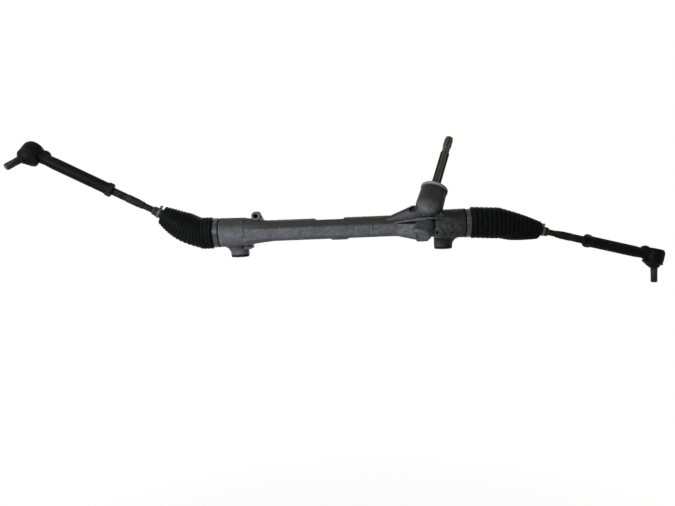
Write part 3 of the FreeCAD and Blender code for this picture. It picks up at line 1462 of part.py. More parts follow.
def boot_clamp(side):
    """Wide steel band that holds the bellows on the housing, with its crimped ear at the rear."""
    start = abs(side.shoulder_x) + CLAMP_SETBACK
    inner = BELLOWS_COLLAR_RADIUS + SEAT_CLEARANCE
    outer = inner + CLAMP_THICKNESS
    band = turned(
        (inner, start), (outer - 0.2, start), (outer, start + 0.3), (outer, start + CLAMP_WIDTH - 0.3),
        (outer - 0.2, start + CLAMP_WIDTH), (inner, start + CLAMP_WIDTH),
    )
    ear = Part.makeBox(4, 9, CLAMP_WIDTH - 3, Vector(outer - 0.4, -4.5, start + 1.5))
    ear = ear.cut(Part.makeBox(2.4, 5.4, CLAMP_WIDTH + 2, Vector(outer - 0.2, -2.7, start - 1)))
    ear.rotate(Vector(0, 0, 0), Vector(0, 0, 1), -side.sign * 110)
    return placed(band.fuse(ear), Vector(0, RACK_Y, RACK_Z), side.out, Vector(0, 0, 1))


def small_clip(side):
    """Spring clip on the bellows' small end, with its two ears upwards."""
    inner = BELLOWS_NECK_RADIUS + SEAT_CLEARANCE
    outer = inner + CLIP_THICKNESS
    band = ring(inner, outer, CLIP_START, CLIP_START + CLIP_WIDTH)
    ears = []
    for lean in (-1, 1):
        ear = Part.makeBox(CLIP_EAR_REACH, 1.2, CLIP_WIDTH, Vector(outer - 0.5, -0.6, CLIP_START))
        ear.rotate(Vector(0, 0, 0), Vector(0, 0, 1), 180 + lean * 16)
        ears.append(ear)
    return side.on_rod(band.fuse(ears))


def stud_boot(side):
    """Rubber boot between the head and the ball stud."""
    bend = 4.0
    angle = side.head.getAngle(side.stud)
    corner = side.end_ball
    start = HEAD_FACE + SOFT_CLEARANCE
    way = side.stud
    base = corner + side.head * start
    outer = [
        (base, side.head, STUD_BOOT_RADIUS),
        (base + side.head * 3.2, side.head, STUD_BOOT_RADIUS),
        (base + side.head * 4.0, side.head, STUD_BOOT_RADIUS - 1.6),
    ]
    inner = [
        (base - side.head, side.head, STUD_BOOT_RADIUS - 3.2),
        (base + side.head * 3.6, side.head, STUD_BOOT_RADIUS - 3.4),
    ]
    middle = (side.head + way).normalize()
    shares = ((0.45, 0.78, middle), (0.8, 0.62, way))
    for share, size, direction in shares:
        along = start + 4 + (STUD_BOOT_END - 4 - start) * share
        centre = corner + (side.head * (1 - share) + way * share).normalize() * along
        outer.append((centre, direction, STUD_BOOT_RADIUS * size))
        inner.append((centre, direction, STUD_BOOT_RADIUS * size - STUD_BOOT_WALL))
    top = corner + way * STUD_BOOT_END
    hole = STUD_TAPER_RADIUS + SOFT_CLEARANCE
    outer.append((top, way, STUD_BOOT_NECK_RADIUS))
    inner += [(top - way * 1.5, way, hole), (top + way, way, hole)]
    return skin(outer, side.hinge).cut(skin(inner, side.hinge))


def save(name, shape):
    solids = shape.Solids
    result = solids[0] if len(solids) == 1 else Part.makeCompound(solids)
    result.exportStep("parts/" + name + ".step")


os.makedirs("parts", exist_ok=True)
bearing_outer, bearing_inner, bearing_balls = ball_bearing()
save("rack_housing", rack_housing())
save("rack_bush", rack_bush())
save("rack_bar", rack_bar())
save("pinion_shaft", pinion_shaft())
save("pinion_bearing_outer_ring", bearing_outer)
save("pinion_bearing_inner_ring", bearing_inner)
save("pinion_bearing_balls", bearing_balls)
save("pinion_needle_bearing", needle_bearing())
save("pinion_end_cap", end_cap())
save("pinion_snap_ring", snap_ring())
save("pinion_shaft_seal", shaft_seal())
save("pinion_dust_cover", dust_cover())
save("rack_guide", rack_guide())
save("rack_guide_pad", guide_pad())
save("rack_guide_springs", guide_springs())
save("rack_guide_plug", guide_plug())
save("rack_guide_lock_nut", guide_nut())
for side, lug_x in zip(SIDES, LUG_X):
    save(side.name + "_mount_sleeve", mount_sleeve(lug_x))
    save(side.name + "_mount_rubber", mount_rubber(lug_x))
    save(side.name + "_bellows", bellows(side))
    save(side.name + "_bellows_clamp", boot_clamp(side))
    save(side.name + "_bellows_clip", small_clip(side))
    save(side.name + "_inner_joint_socket", inner_socket(side))
    save(side.name + "_lock_washer", lock_washer(side))
    save(side.name + "_inner_joint_cup", pressure_cup(side))
    save(side.name + "_tie_rod", tie_rod(side))
    save(side.name + "_lock_nut", lock_nut(side))
    save(side.name + "_tie_rod_end", tie_rod_end(side))
    save(side.name + "_cap_plate", cap_plate(side))
    save(side.name + "_ball_shell", ball_shell(side))
    save(side.name + "_ball_stud", ball_stud(side))
    save(side.name + "_stud_boot", stud_boot(side))
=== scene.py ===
import json
import math
from dataclasses import dataclass

import bpy
from mathutils import Matrix, Vector
from mathutils.bvhtree import BVHTree


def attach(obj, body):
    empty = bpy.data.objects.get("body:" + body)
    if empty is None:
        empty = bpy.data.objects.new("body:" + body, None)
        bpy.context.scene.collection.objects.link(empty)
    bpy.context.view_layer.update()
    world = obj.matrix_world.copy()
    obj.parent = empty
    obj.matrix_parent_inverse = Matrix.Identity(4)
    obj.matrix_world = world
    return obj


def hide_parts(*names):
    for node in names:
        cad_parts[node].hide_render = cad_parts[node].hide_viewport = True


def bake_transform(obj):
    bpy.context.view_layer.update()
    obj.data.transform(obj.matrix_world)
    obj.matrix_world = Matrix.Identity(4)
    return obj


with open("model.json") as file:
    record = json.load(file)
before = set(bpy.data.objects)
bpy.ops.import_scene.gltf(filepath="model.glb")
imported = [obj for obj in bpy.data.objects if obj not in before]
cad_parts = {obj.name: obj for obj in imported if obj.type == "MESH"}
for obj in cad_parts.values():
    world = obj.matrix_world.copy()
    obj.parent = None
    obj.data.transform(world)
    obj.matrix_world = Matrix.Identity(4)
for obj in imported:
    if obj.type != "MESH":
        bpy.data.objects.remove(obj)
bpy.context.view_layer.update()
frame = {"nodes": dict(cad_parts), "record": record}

MM = 0.001
UP = Vector((0, 0, 1))
ALONG_RACK = Vector((1, 0, 0))

# Rack axis, tie rods, spigots and the pinion's direction, as the CAD model has them, in millimetres
RACK_Y = -37.0
RACK_Z = 50.0
TIE_ROD_LENGTH = 325.0
SPIGOT_LENGTH = 12.0
PINION_AXIS = Vector((0.34202, 0.44116, 0.82970))


@dataclass
class BellowsForm:
    """Form of one bellows in millimetres. Places are distances from the inner ball, away from the housing."""

    crest: float  # radius over the folds at the housing
    depth: float  # depth of the grooves between the folds
    taper_start: float  # where the folds begin to narrow
    taper_power: float  # how late they narrow
    sag_span: tuple  # where the sag begins and ends
    pitches: tuple  # widths of the first and last fold, before they are scaled to fit
    flatness: tuple  # how flat the first and last fold are on top


def direction(sign, lift, swing):
    """Tie rod direction for a lift above the rack and a swing to the front, in degrees."""
    a = math.radians(lift)
    b = math.radians(swing)
    return Vector((sign * math.cos(a) * math.cos(b), -math.cos(a) * math.sin(b), math.sin(a)))


class Side:
    """One end of the rack at rest, in millimetres.

    Its directions lead out of the housing, along the rod, down across the rod, and along the head of the
    tie rod end and its stud. The hinge lies across the first two.
    """

    def __init__(self, name, sign, ball_x, shoulder, lift, swing, roll, tilt, form):
        self.name = name
        self.shoulder = shoulder
        self.form = form
        self.out = ALONG_RACK * sign
        self.ball = Vector((ball_x, RACK_Y, RACK_Z))
        self.rod = direction(sign, lift, swing)
        self.hinge = self.out.cross(self.rod).normalized()
        flat = direction(sign, 0, swing)
        self.down = flat * math.sin(math.radians(lift)) - UP * math.cos(math.radians(lift))
        across = self.rod.cross(self.down)
        if across.y > 0:
            across = -across
        self.head = self.down * math.cos(math.radians(roll)) + across * math.sin(math.radians(roll))
        self.stud = self.head * math.cos(math.radians(tilt)) + self.rod * math.sin(math.radians(tilt))
        self.end_ball = self.ball + self.rod * TIE_ROD_LENGTH


LEFT = Side(
    "left", -1, ball_x=-259.6, shoulder=225.6, lift=28.7, swing=10.0, roll=35.0, tilt=21.0,
    form=BellowsForm(
        crest=29.4, depth=1.1, taper_start=6.0, taper_power=2.1,
        sag_span=(4.0, 84.0), pitches=(6.8, 5.0), flatness=(6.0, 5.0),
    ),
)
RIGHT = Side(
    "right", 1, ball_x=296.5, shoulder=229.0, lift=-14.4, swing=-7.5, roll=0.0, tilt=15.0,
    form=BellowsForm(
        crest=29.2, depth=2.0, taper_start=-6.0, taper_power=1.7,
        sag_span=(-46.0, 86.0), pitches=(8.9, 6.2), flatness=(14.0, 7.0),
    ),
)
SIDES = (LEFT, RIGHT)


# Materials

# Places of the colour sockets among those of a Mix node
COLOR_A = 6
COLOR_B = 7
COLOR_RESULT = 2
# Samples that the bevel and occlusion nodes take round each point
LOOK_ROUND = 6
# How well the rounded normal agrees with the true one, from a flat face to an edge
FLAT_TO_EDGE = (0.995, 0.90)
# How open the surroundings are, from an open face to a deep corner
OPEN_TO_DEEP = (0.92, 0.35)


class Shader:
    """Node material on one principled shader, whose colour is a base with coats laid over it."""

    def __init__(self, name, color, rough, metal, specular=0.5):
        self.material = bpy.data.materials.new(name)
        self.material.use_nodes = True
        self.nodes = self.material.node_tree.nodes
        self.links = self.material.node_tree.links
        self.out = self.nodes["Principled BSDF"]
        self.out.inputs["Base Color"].default_value = (*color, 1)
        self.out.inputs["Roughness"].default_value = rough
        self.out.inputs["Metallic"].default_value = metal
        self.out.inputs["Specular IOR Level"].default_value = specular
        geometry = self.nodes.new("ShaderNodeNewGeometry")
        self.place = geometry.outputs["Position"]
        self.normal = geometry.outputs["Normal"]
        self.pointiness = geometry.outputs["Pointiness"]
        self.base = color
        self.bent = None

    def put(self, socket, value):
        """Link a socket to another one, or set its value."""
        if isinstance(value, bpy.types.NodeSocket):
            self.links.new(value, socket)
        else:
            socket.default_value = value

    def vector(self, operation, *values):
        node = self.nodes.new("ShaderNodeVectorMath")
        node.operation = operation
        for socket, value in zip(node.inputs, values):
            self.put(socket, value)
        return node

    def noise(self, scale, detail=4.0, rough=0.55, at=None):
        node = self.nodes.new("ShaderNodeTexNoise")
        node.inputs["Scale"].default_value = scale
        node.inputs["Detail"].default_value = detail
        node.inputs["Roughness"].default_value = rough
        self.links.new(self.place if at is None else at, node.inputs["Vector"])
        return node.outputs["Fac"]

    def ramp(self, source, span, into=(0.0, 1.0)):
        """Map the values of a span into another one, and hold them at its ends."""
        node = self.nodes.new("ShaderNodeMapRange")
        node.inputs["From Min"].default_value, node.inputs["From Max"].default_value = span
        node.inputs["To Min"].default_value, node.inputs["To Max"].default_value = into
        self.links.new(source, node.inputs["Value"])
        return node.outputs["Result"]

    def patches(self, scale, span, into=(0.0, 1.0), detail=4.0, rough=0.55):
        """Noise with its contrast set by a span."""
        return self.ramp(self.noise(scale, detail, rough), span, into)

    def times(self, first, second):
        node = self.nodes.new("ShaderNodeMath")
        node.operation = "MULTIPLY"
        self.put(node.inputs[0], first)
        self.put(node.inputs[1], second)
        return node.outputs[0]

    def coat(self, mask, strength, color):
        """Lay a colour over the base, as far as a mask and a strength say."""
        node = self.nodes.new("ShaderNodeMix")
        node.data_type = "RGBA"
        self.put(node.inputs["Factor"], self.times(mask, strength))
        self.put(node.inputs[COLOR_A], (*self.base, 1) if isinstance(self.base, tuple) else self.base)
        self.put(node.inputs[COLOR_B], (*color, 1))
        self.base = node.outputs[COLOR_RESULT]
        self.links.new(self.base, self.out.inputs["Base Color"])

    def rough(self, source):
        self.links.new(source, self.out.inputs["Roughness"])

    def bend(self, normal):
        self.bent = normal
        self.links.new(normal, self.out.inputs["Normal"])

    def bump(self, source, strength, distance):
        node = self.nodes.new("ShaderNodeBump")
        node.inputs["Strength"].default_value = strength
        node.inputs["Distance"].default_value = distance
        self.links.new(source, node.inputs["Height"])
        if self.bent is not None:
            self.links.new(self.bent, node.inputs["Normal"])
        self.bend(node.outputs["Normal"])

    def soft_edges(self, radius):
        """Round the look of sharp edges, and return how near an edge a point lies."""
        node = self.nodes.new("ShaderNodeBevel")
        node.samples = LOOK_ROUND
        node.inputs["Radius"].default_value = radius
        self.bend(node.outputs["Normal"])
        turn = self.vector("DOT_PRODUCT", node.outputs["Normal"], self.normal)
        return self.ramp(turn.outputs["Value"], FLAT_TO_EDGE)

    def corners(self, distance):
        """How deep in a hollow or corner a point lies, from 0 in the open to 1."""
        node = self.nodes.new("ShaderNodeAmbientOcclusion")
        node.samples = LOOK_ROUND
        node.inputs["Distance"].default_value = distance
        return self.ramp(node.outputs["AO"], OPEN_TO_DEEP)

    def along(self, source, axis, span):
        """How far a normal or a place reaches along an axis of the object."""
        return self.ramp(self.vector("DOT_PRODUCT", source, axis).outputs["Value"], span)

    def streaks(self, axis, scale, squeeze=0.04):
        """Noise drawn out along an axis."""
        reach = self.vector("DOT_PRODUCT", self.place, axis)
        along = self.vector("SCALE", axis)
        self.links.new(reach.outputs["Value"], along.inputs["Scale"])
        less = Vector((1, 1, 1)) * (squeeze - 1)
        squeezed = self.vector("MULTIPLY_ADD", along.outputs["Vector"], less, self.place)
        return self.noise(scale, rough=0.5, at=squeezed.outputs["Vector"])


def shade(color, share, lift=0.0):
    """A colour at a share of its brightness, lifted by a little."""
    return tuple(c * share + lift for c in color)


# Which way the faces look that get painted shade on the casting: upwards, and a little to the front
SHADED_WAY = Vector((0, -0.25, 0.97))
# Where the casting begins and ceases to darken, in blotches, towards the right end, along the rack in metres
DARK_END_SPAN = (0.150, 0.205)
# Where the painted shade on upper faces deepens, along the rack in metres
TOP_SHADE_SPAN = (0.06, 0.17)
# Where the machined lip of the tower starts, along the pinion in metres
LIP_HEIGHT = (0.1438, 0.1446)
# Dark lower rim of the lugs, from its upper edge down, as heights in metres
LUG_RIM = (0.0060, 0.0050)


def cast_metal(name, light, dark, shade_and_grime, worn):
    """Weathered cast aluminium: stains, painted shade on upper faces and in corners, and rubbed edges and
    spots.
    """
    s = Shader(name, light, rough=0.6, metal=0.05, specular=0.08)
    edges = s.soft_edges(radius=0.0013)
    s.coat(s.patches(34, (0.38, 0.62), detail=6.0, rough=0.65), 0.35, dark)
    s.coat(s.patches(130, (0.38, 0.62), detail=8.0, rough=0.8), 0.8, dark)
    s.coat(s.patches(520, (0.52, 0.70), detail=5.0, rough=0.75), 0.6, shade(dark, 0.35))
    # Painted shade: faces that look up, and a little to the front, are darker
    s.coat(s.along(s.normal, SHADED_WAY, (0.15, 0.75)), 0.88, shade_and_grime)
    # Darker in blotches towards the right end
    dark_end = s.along(s.place, ALONG_RACK, DARK_END_SPAN)
    s.coat(s.times(dark_end, s.patches(55, (0.25, 0.50), into=(0.6, 0.92))), 1.0, shade(shade_and_grime, 0.35))
    # Painted shade: upper faces darker still towards the right end
    upper = s.along(s.normal, UP, (0.35, 0.75))
    s.coat(s.times(upper, s.along(s.place, ALONG_RACK, TOP_SHADE_SPAN)), 0.6, shade(shade_and_grime, 0.25))
    region = s.patches(13, (0.46, 0.62), detail=3.0)
    s.coat(s.times(s.patches(210, (0.58, 0.70), detail=5.0, rough=0.65), region), 0.6, worn)
    s.coat(s.times(edges, s.patches(120, (0.42, 0.62))), 0.5, worn)
    s.coat(s.along(s.place, PINION_AXIS, LIP_HEIGHT), 0.85, worn)
    # Painted shade in corners and hollows
    s.coat(s.corners(distance=0.013), 0.9, shade(dark, 0.22))
    s.coat(s.along(s.place, UP, LUG_RIM), 0.95, shade(dark, 0.1))
    s.rough(s.patches(160, (0.3, 0.7), into=(0.48, 0.72), detail=3.0))
    s.bump(s.noise(1300, detail=3.0, rough=0.7), strength=0.4, distance=0.0004)
    s.bump(s.noise(210, rough=0.6), strength=0.35, distance=0.0009)
    return s.material


def steel(name, light, dark, rough, metal=0.9, scratches=0.25, specular=0.5):
    """Steel with stains, fine specks, painted shade in corners and a little unevenness."""
    s = Shader(name, light, rough, metal, specular)
    s.soft_edges(radius=0.0004)
    s.coat(s.patches(70, (0.35, 0.65), detail=5.0), 1.0, dark)
    s.coat(s.patches(420, (0.52, 0.72)), 1.0, shade(dark, 0.55))
    # Painted shade in corners
    s.coat(s.corners(distance=0.004), 0.5, shade(dark, 0.2))
    s.rough(s.patches(220, (0.3, 0.7), into=(rough - 0.07, rough + 0.12), detail=3.0))
    s.bump(s.noise(380, detail=3.0), strength=scratches, distance=0.0003)
    return s.material


def streaked_steel(name, axis, light, dark, oil, rough):
    """Dark oily steel whose stains run along the shaft, with a few bright rubbed streaks."""
    s = Shader(name, dark, rough, metal=0.5, specular=0.2)
    s.soft_edges(radius=0.0003)
    s.coat(s.ramp(s.streaks(axis, 260), (0.40, 0.60)), 1.0, light)
    s.coat(s.ramp(s.streaks(axis, 420, squeeze=0.15), (0.56, 0.66)), 1.0, oil)
    # Painted shade in corners
    s.coat(s.corners(distance=0.003), 0.8, shade(dark, 0.15))
    s.rough(s.ramp(s.streaks(axis, 300, squeeze=0.1), (0.35, 0.65), (rough - 0.1, rough + 0.18)))
    s.bump(s.streaks(axis, 500, squeeze=0.1), strength=0.3, distance=0.0003)
    return s.material


def worn_paint(name, paint, bare):
    """Black paint with chips that show dull steel, and more of them along the edges."""
    s = Shader(name, paint, rough=0.42, metal=0.0, specular=0.03)
    edges = s.soft_edges(radius=0.0010)
    s.coat(s.patches(30, (0.35, 0.65), detail=3.0), 1.0, shade(paint, 1.8, lift=0.002))
    s.coat(s.times(edges, s.patches(150, (0.46, 0.56))), 1.0, bare)
    chips = s.patches(85, (0.675, 0.70), detail=6.0, rough=0.62)
    s.coat(chips, 1.0, bare)
    s.rough(s.patches(300, (0.3, 0.7), into=(0.36, 0.56), detail=3.0))
    s.bump(s.noise(500, detail=3.0), strength=0.3, distance=0.0003)
    s.bump(chips, strength=0.5, distance=-0.0002)
    return s.material


SPECKS = (0.05, 0.05, 0.052)
# Pale painted highlight laid on raised rubber ridges
RIDGE_HIGHLIGHT = (0.13, 0.13, 0.125)


def rubber(name, color, rough=0.5, dust=0.35, specular=0.1, ridges=0.0):
    """Black rubber with a thin grey bloom, painted shade in folds and corners, and ridges that may get a pale
    painted highlight.
    """
    s = Shader(name, color, rough, metal=0.0, specular=specular)
    s.coat(s.patches(45, (0.40, 0.72), detail=6.0, rough=0.6), 1.0, shade(color, 1.0, lift=dust * 0.03))
    s.coat(s.patches(520, (0.66, 0.72), rough=0.7), dust, SPECKS)
    # Painted shade in corners
    s.coat(s.corners(distance=0.004), 0.7, shade(color, 0.3))
    # Painted shade in the grooves between folds, found by pointiness
    s.coat(s.ramp(s.pointiness, (0.50, 0.44)), 1.0, shade(color, 0.25))
    # Painted highlight on raised ridges, found by pointiness
    s.coat(s.ramp(s.pointiness, (0.52, 0.60)), ridges, RIDGE_HIGHLIGHT)
    s.rough(s.patches(120, (0.3, 0.7), into=(rough - 0.06, rough + 0.14)))
    s.bump(s.noise(1100, detail=2.0), strength=0.25, distance=0.0002)
    s.bump(s.noise(90), strength=0.15, distance=0.0008)
    return s.material


CASTING = cast_metal(
    "casting",
    light=(0.156, 0.159, 0.175),
    dark=(0.058, 0.058, 0.062),
    shade_and_grime=(0.027, 0.026, 0.0215),
    worn=(0.25, 0.26, 0.29),
)
SHAFT = streaked_steel(
    "shaft",
    PINION_AXIS,
    light=(0.085, 0.078, 0.068),
    dark=(0.008, 0.0075, 0.007),
    oil=(0.11, 0.08, 0.042),
    rough=0.30,
)
GROUND = steel("ground_steel", (0.42, 0.42, 0.44), (0.30, 0.29, 0.28), 0.25, scratches=0.12)
BEARING = steel("bearing_steel", (0.50, 0.50, 0.52), (0.40, 0.40, 0.41), 0.18, scratches=0.08)
SPRING = steel("spring_steel", (0.16, 0.16, 0.17), (0.08, 0.08, 0.08), 0.38)
PLATED = steel("plated_steel", (0.11, 0.11, 0.113), (0.06, 0.06, 0.06), 0.45, metal=0.3, specular=0.15)
CLAMP = steel(
    "clamp_steel", (0.085, 0.083, 0.088), (0.035, 0.035, 0.037), 0.22, metal=0.8, scratches=0.15, specular=0.2
)
CLIP = steel("clip_steel", (0.13, 0.13, 0.132), (0.05, 0.05, 0.05), 0.36, metal=0.6, specular=0.2)
TURNED = steel("turned_aluminium", (0.16, 0.16, 0.175), (0.085, 0.085, 0.09), 0.45, metal=0.2, specular=0.15)
ROD = steel("tie_rod_steel", (0.020, 0.0195, 0.0165), (0.0055, 0.005, 0.004), 0.44, metal=0.0, specular=0.03)
NUT = steel("nut_steel", (0.011, 0.0107, 0.010), (0.004, 0.004, 0.0036), 0.42, metal=0.0, specular=0.03)
STUD = steel("stud_steel", (0.030, 0.031, 0.035), (0.007, 0.007, 0.008), 0.32, metal=0.3, specular=0.12)
FORGED = worn_paint("forged_paint", (0.0027, 0.0027, 0.0026), (0.13, 0.127, 0.12))
BELLOWS = rubber("bellows_rubber", (0.0045, 0.0045, 0.0047), dust=0.15, specular=0.02)
NECK = rubber("bellows_neck_rubber", (0.012, 0.012, 0.0115), 0.55, dust=0.4, specular=0.05, ridges=0.9)
BOOT = rubber("boot_rubber", (0.004, 0.004, 0.0045), 0.45, dust=0.1, specular=0.03)
MOUNT = rubber("mount_rubber", (0.009, 0.009, 0.009), 0.6, dust=0.25)
SEAL = rubber("seal_rubber", (0.013, 0.011, 0.010), dust=0.2)
COVER = steel("dust_cover", (0.16, 0.16, 0.155), (0.09, 0.09, 0.08), 0.5, metal=0.3)
PLASTIC = steel("bearing_plastic", (0.62, 0.60, 0.52), (0.52, 0.49, 0.42), 0.42, metal=0.0, scratches=0.1)

SLOT_LOOKS = {
    "casting": CASTING,
    "shaft_steel": SHAFT,
    "ground_steel": GROUND,
    "bearing_steel": BEARING,
    "spring_steel": SPRING,
    "plated_steel": PLATED,
    "clamp_steel": CLAMP,
    "clip_steel": CLIP,
    "guide_aluminium": TURNED,
    "tie_rod_steel": ROD,
    "nut_steel": NUT,
    "forged_steel": FORGED,
    "stud_steel": STUD,
    "bellows_rubber": BELLOWS,
    "boot_rubber": BOOT,
    "mount_rubber": MOUNT,
    "seal_rubber": SEAL,
    "dust_cover_plastic": COVER,
    "bearing_plastic": PLASTIC,
}
for part in frame["record"]["subparts"]:
    node = frame["nodes"][part["node"]]
    node.data.materials.clear()
    node.data.materials.append(SLOT_LOOKS[part["material_slot"]])


# Meshes


def mesh_object(name, verts, faces, material, smooth=True):
    """Object of a mesh whose points are in millimetres."""
    data = bpy.data.meshes.new(name)
    data.from_pydata([Vector(v) * MM for v in verts], [], faces)
    data.polygons.foreach_set("use_smooth", [smooth] * len(faces))
    data.materials.append(material)
    data.update()
    thing = bpy.data.objects.new(name, data)
    bpy.context.scene.collection.objects.link(thing)
    return thing


def cross_axes(way, hint):
    """Two unit directions across a direction, the first one nearest to a hint."""
    first = (hint - way * hint.dot(way)).normalized()
    return first, way.cross(first)


def ring_mesh(name, rings, hint, material, segments=96):
    """Skin through circles, given as (centre, direction, radius) in millimetres."""
    verts = []
    for centre, way, radius in rings:
        first, second = cross_axes(way, hint)
        for k in range(segments):
            angle = 2 * math.pi * k / segments
            verts.append(centre + (first * math.cos(angle) + second * math.sin(angle)) * radius)
    faces = []
    for r in range(len(rings) - 1):
        for k in range(segments):
            a = r * segments + k
            b = r * segments + (k + 1) % segments
            faces.append((a, b, b + segments, a + segments))
    return mesh_object(name, verts, faces, material)


# Bellows

CONVOLUTIONS = 17
RINGS_PER_FOLD = 20
END_CREST = 16.6
SAG = 3.2
# Distance past the ball at which the folds have turned from the rack's direction to the tie rod's
FAN = 50.0
# Collar that the clamp holds, the gap to the shoulder behind it, and its edge as steps along and outwards
COLLAR_RADIUS = 26.6
COLLAR_GAP = 0.4
COLLAR_EDGE = ((1.6, -1.5), (0.0, -1.3), (0.0, -0.3), (0.3, 0.0))
# How far the folds begin past the spigot's end
MOUTH_GAP = 0.6
# Last rings of the folded skin, where it closes on the small end, as (distance, radius) pairs
NECK_START = 80.0
NECK_SHOULDER = ((NECK_START + 0.5, 11.4), (NECK_START + 1.4, 9.4))
# Small end on the tie rod: its first and last ring as such pairs, and the ribbed stretch between them
NECK_END = 98.0
NECK_FIRST_RING = (NECK_START + 0.6, 9.2)
NECK_LAST_RING = (NECK_END, 6.7)
NECK_RIBBED = (NECK_START + 1.4, NECK_END - 0.6)
NECK_RINGS = 48
# Its radius, how far that narrows past the clip, and the stretch that the clip grips
NECK_RADIUS = 8.45
NECK_TAPER = 1.0
CLIP_SPAN = (84.2, 89.2)
# Its ribs: the place of one of them, their spacing and height, and how full they are
NECK_RIB_AT = 91.2
NECK_RIB_PITCH = 3.1
NECK_RIB_HEIGHT = 0.75
NECK_RIB_POWER = 0.7
# Where the four zones of the skin end, from the ball outwards
ZONE_ENDS = (0.0, 10.0, 78.5, 200.0)


def unit_share(value, first, last):
    """How far a value has gone from a first one to a last one, held between 0 and 1."""
    return min(1.0, max(0.0, (value - first) / (last - first)))


def station(side, s):
    """Centre and direction of a bellows ring at a distance s from the inner ball."""
    share = unit_share(s, 0.0, FAN)
    share = share * share * (3 - 2 * share)
    way = (side.out * (1 - share) + side.rod * share).normalized()
    along = side.out if s <= 0 else side.rod
    fall = SAG * math.sin(math.pi * unit_share(s, *side.form.sag_span))
    return side.ball + along * s + side.down * fall, way


def crest_radius(form, s):
    """Radius over the folds: full at the housing, then a rounded taper to the tie rod."""
    share = unit_share(s, form.taper_start, NECK_START)
    return form.crest - (form.crest - END_CREST) * share ** form.taper_power


def bellows_rings(side):
    """Fine rings from the collar to the neck as (distance from the ball, radius) pairs."""
    form = side.form
    start = side.shoulder + COLLAR_GAP - abs(side.ball.x)
    mouth = side.shoulder + SPIGOT_LENGTH + MOUTH_GAP - abs(side.ball.x)
    rings = [(start + along, COLLAR_RADIUS + rise) for along, rise in COLLAR_EDGE]
    rings.append((mouth - MOUTH_GAP, COLLAR_RADIUS))
    shares = [k / (CONVOLUTIONS - 1) for k in range(CONVOLUTIONS)]
    pitches = [form.pitches[0] + (form.pitches[1] - form.pitches[0]) * share for share in shares]
    scale = (NECK_START - mouth) / sum(pitches)
    here = mouth
    for share, pitch in zip(shares, pitches):
        power = form.flatness[0] + (form.flatness[1] - form.flatness[0]) * share
        for j in range(RINGS_PER_FOLD):
            u = j / RINGS_PER_FOLD
            s = here + pitch * scale * u
            crest = crest_radius(form, s)
            at_collar = share == 0 and u < 0.5
            depth = crest - COLLAR_RADIUS if at_collar else form.depth
            rings.append((s, crest - depth * abs(math.cos(math.pi * u)) ** power))
        here += pitch * scale
    return rings + [(NECK_START, END_CREST - form.depth), *NECK_SHOULDER]


def bellows_neck(side):
    """Ribbed small end, which the clip holds on the tie rod."""
    first, last = NECK_RIBBED
    rings = [NECK_FIRST_RING]
    for k in range(NECK_RINGS + 1):
        s = first + (last - first) * k / NECK_RINGS
        ribbed = 0.0 if CLIP_SPAN[0] < s < CLIP_SPAN[1] else 1.0
        wave = max(0.0, math.cos(2 * math.pi * (s - NECK_RIB_AT) / NECK_RIB_PITCH))
        rib = NECK_RIB_HEIGHT * ribbed * wave ** NECK_RIB_POWER
        taper = NECK_TAPER * unit_share(s, CLIP_SPAN[1], NECK_END)
        rings.append((s, NECK_RADIUS - taper + rib))
    rings.append(NECK_LAST_RING)
    shape = [(side.ball + side.rod * s, side.rod, radius) for s, radius in rings]
    piece = ring_mesh(side.name + "_bellows_neck", shape, side.hinge, NECK, segments=72)
    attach(piece, side.name + "_tie_rod_body")


def bellows(side):
    """Corrugated boot in four zones: housing to rack, two that bend past the ball, and one on the rod."""
    rod = side.name + "_tie_rod_body"
    zones = [[] for _ in ZONE_ENDS]
    for s, radius in bellows_rings(side):
        index = next(k for k, end in enumerate(ZONE_ENDS) if s <= end)
        zones[index].append((s, radius))
    pieces = []
    for index, zone in enumerate(zones):
        if index + 1 < len(zones):
            zone.append(zones[index + 1][0])
        shape = [(*station(side, s), radius) for s, radius in zone]
        pieces.append(ring_mesh(side.name + "_bellows_" + "abcd"[index], shape, side.hinge, BELLOWS))
    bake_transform(pieces[0])
    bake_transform(pieces[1])
    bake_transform(pieces[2])
    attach(pieces[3], rod)
    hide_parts(side.name + "_bellows")
    bellows_neck(side)


for side in SIDES:
    bellows(side)


# Casting details

CASTING_SURFACE = BVHTree.FromObject(frame["nodes"]["rack_housing"], bpy.context.evaluated_depsgraph_get())
# How far from the rack's axis the search for the surface starts, and how deep a band's edges lie in it
BAND_REACH = 60.0
BAND_SUNK = 0.05
BAND_STEPS = 28
# Share of a band's length over which it rises at each end
BAND_FADE = 0.2

# Rib left by a joint in the mould: its place along the rack, its size, and its ends in degrees above the axis
RIB_X = 57.0
RIB_WIDTH = 4.4
RIB_PROUD = 1.2
RIB_POINTS = 9
RIB_SPAN = (-31, 13)
# Step where the round left end gives way to the tube's panel, with its profile as offsets and heights
STEP_X = -180.0
STEP_PROFILE = ((-16.0, 0.0), (-10.0, 0.35), (-5.0, 0.9), (-1.8, 1.55), (-1.0, 1.6), (-0.4, 1.45), (1.6, 0.0))
STEP_SPAN = (-40, 78)


def rib_profile():
    """Half wave across the rib, as offsets along the rack and heights."""
    angles = [math.pi * k / (RIB_POINTS - 1) for k in range(RIB_POINTS)]
    return [(-RIB_WIDTH / 2 * math.cos(angle), RIB_PROUD * math.sin(angle)) for angle in angles]


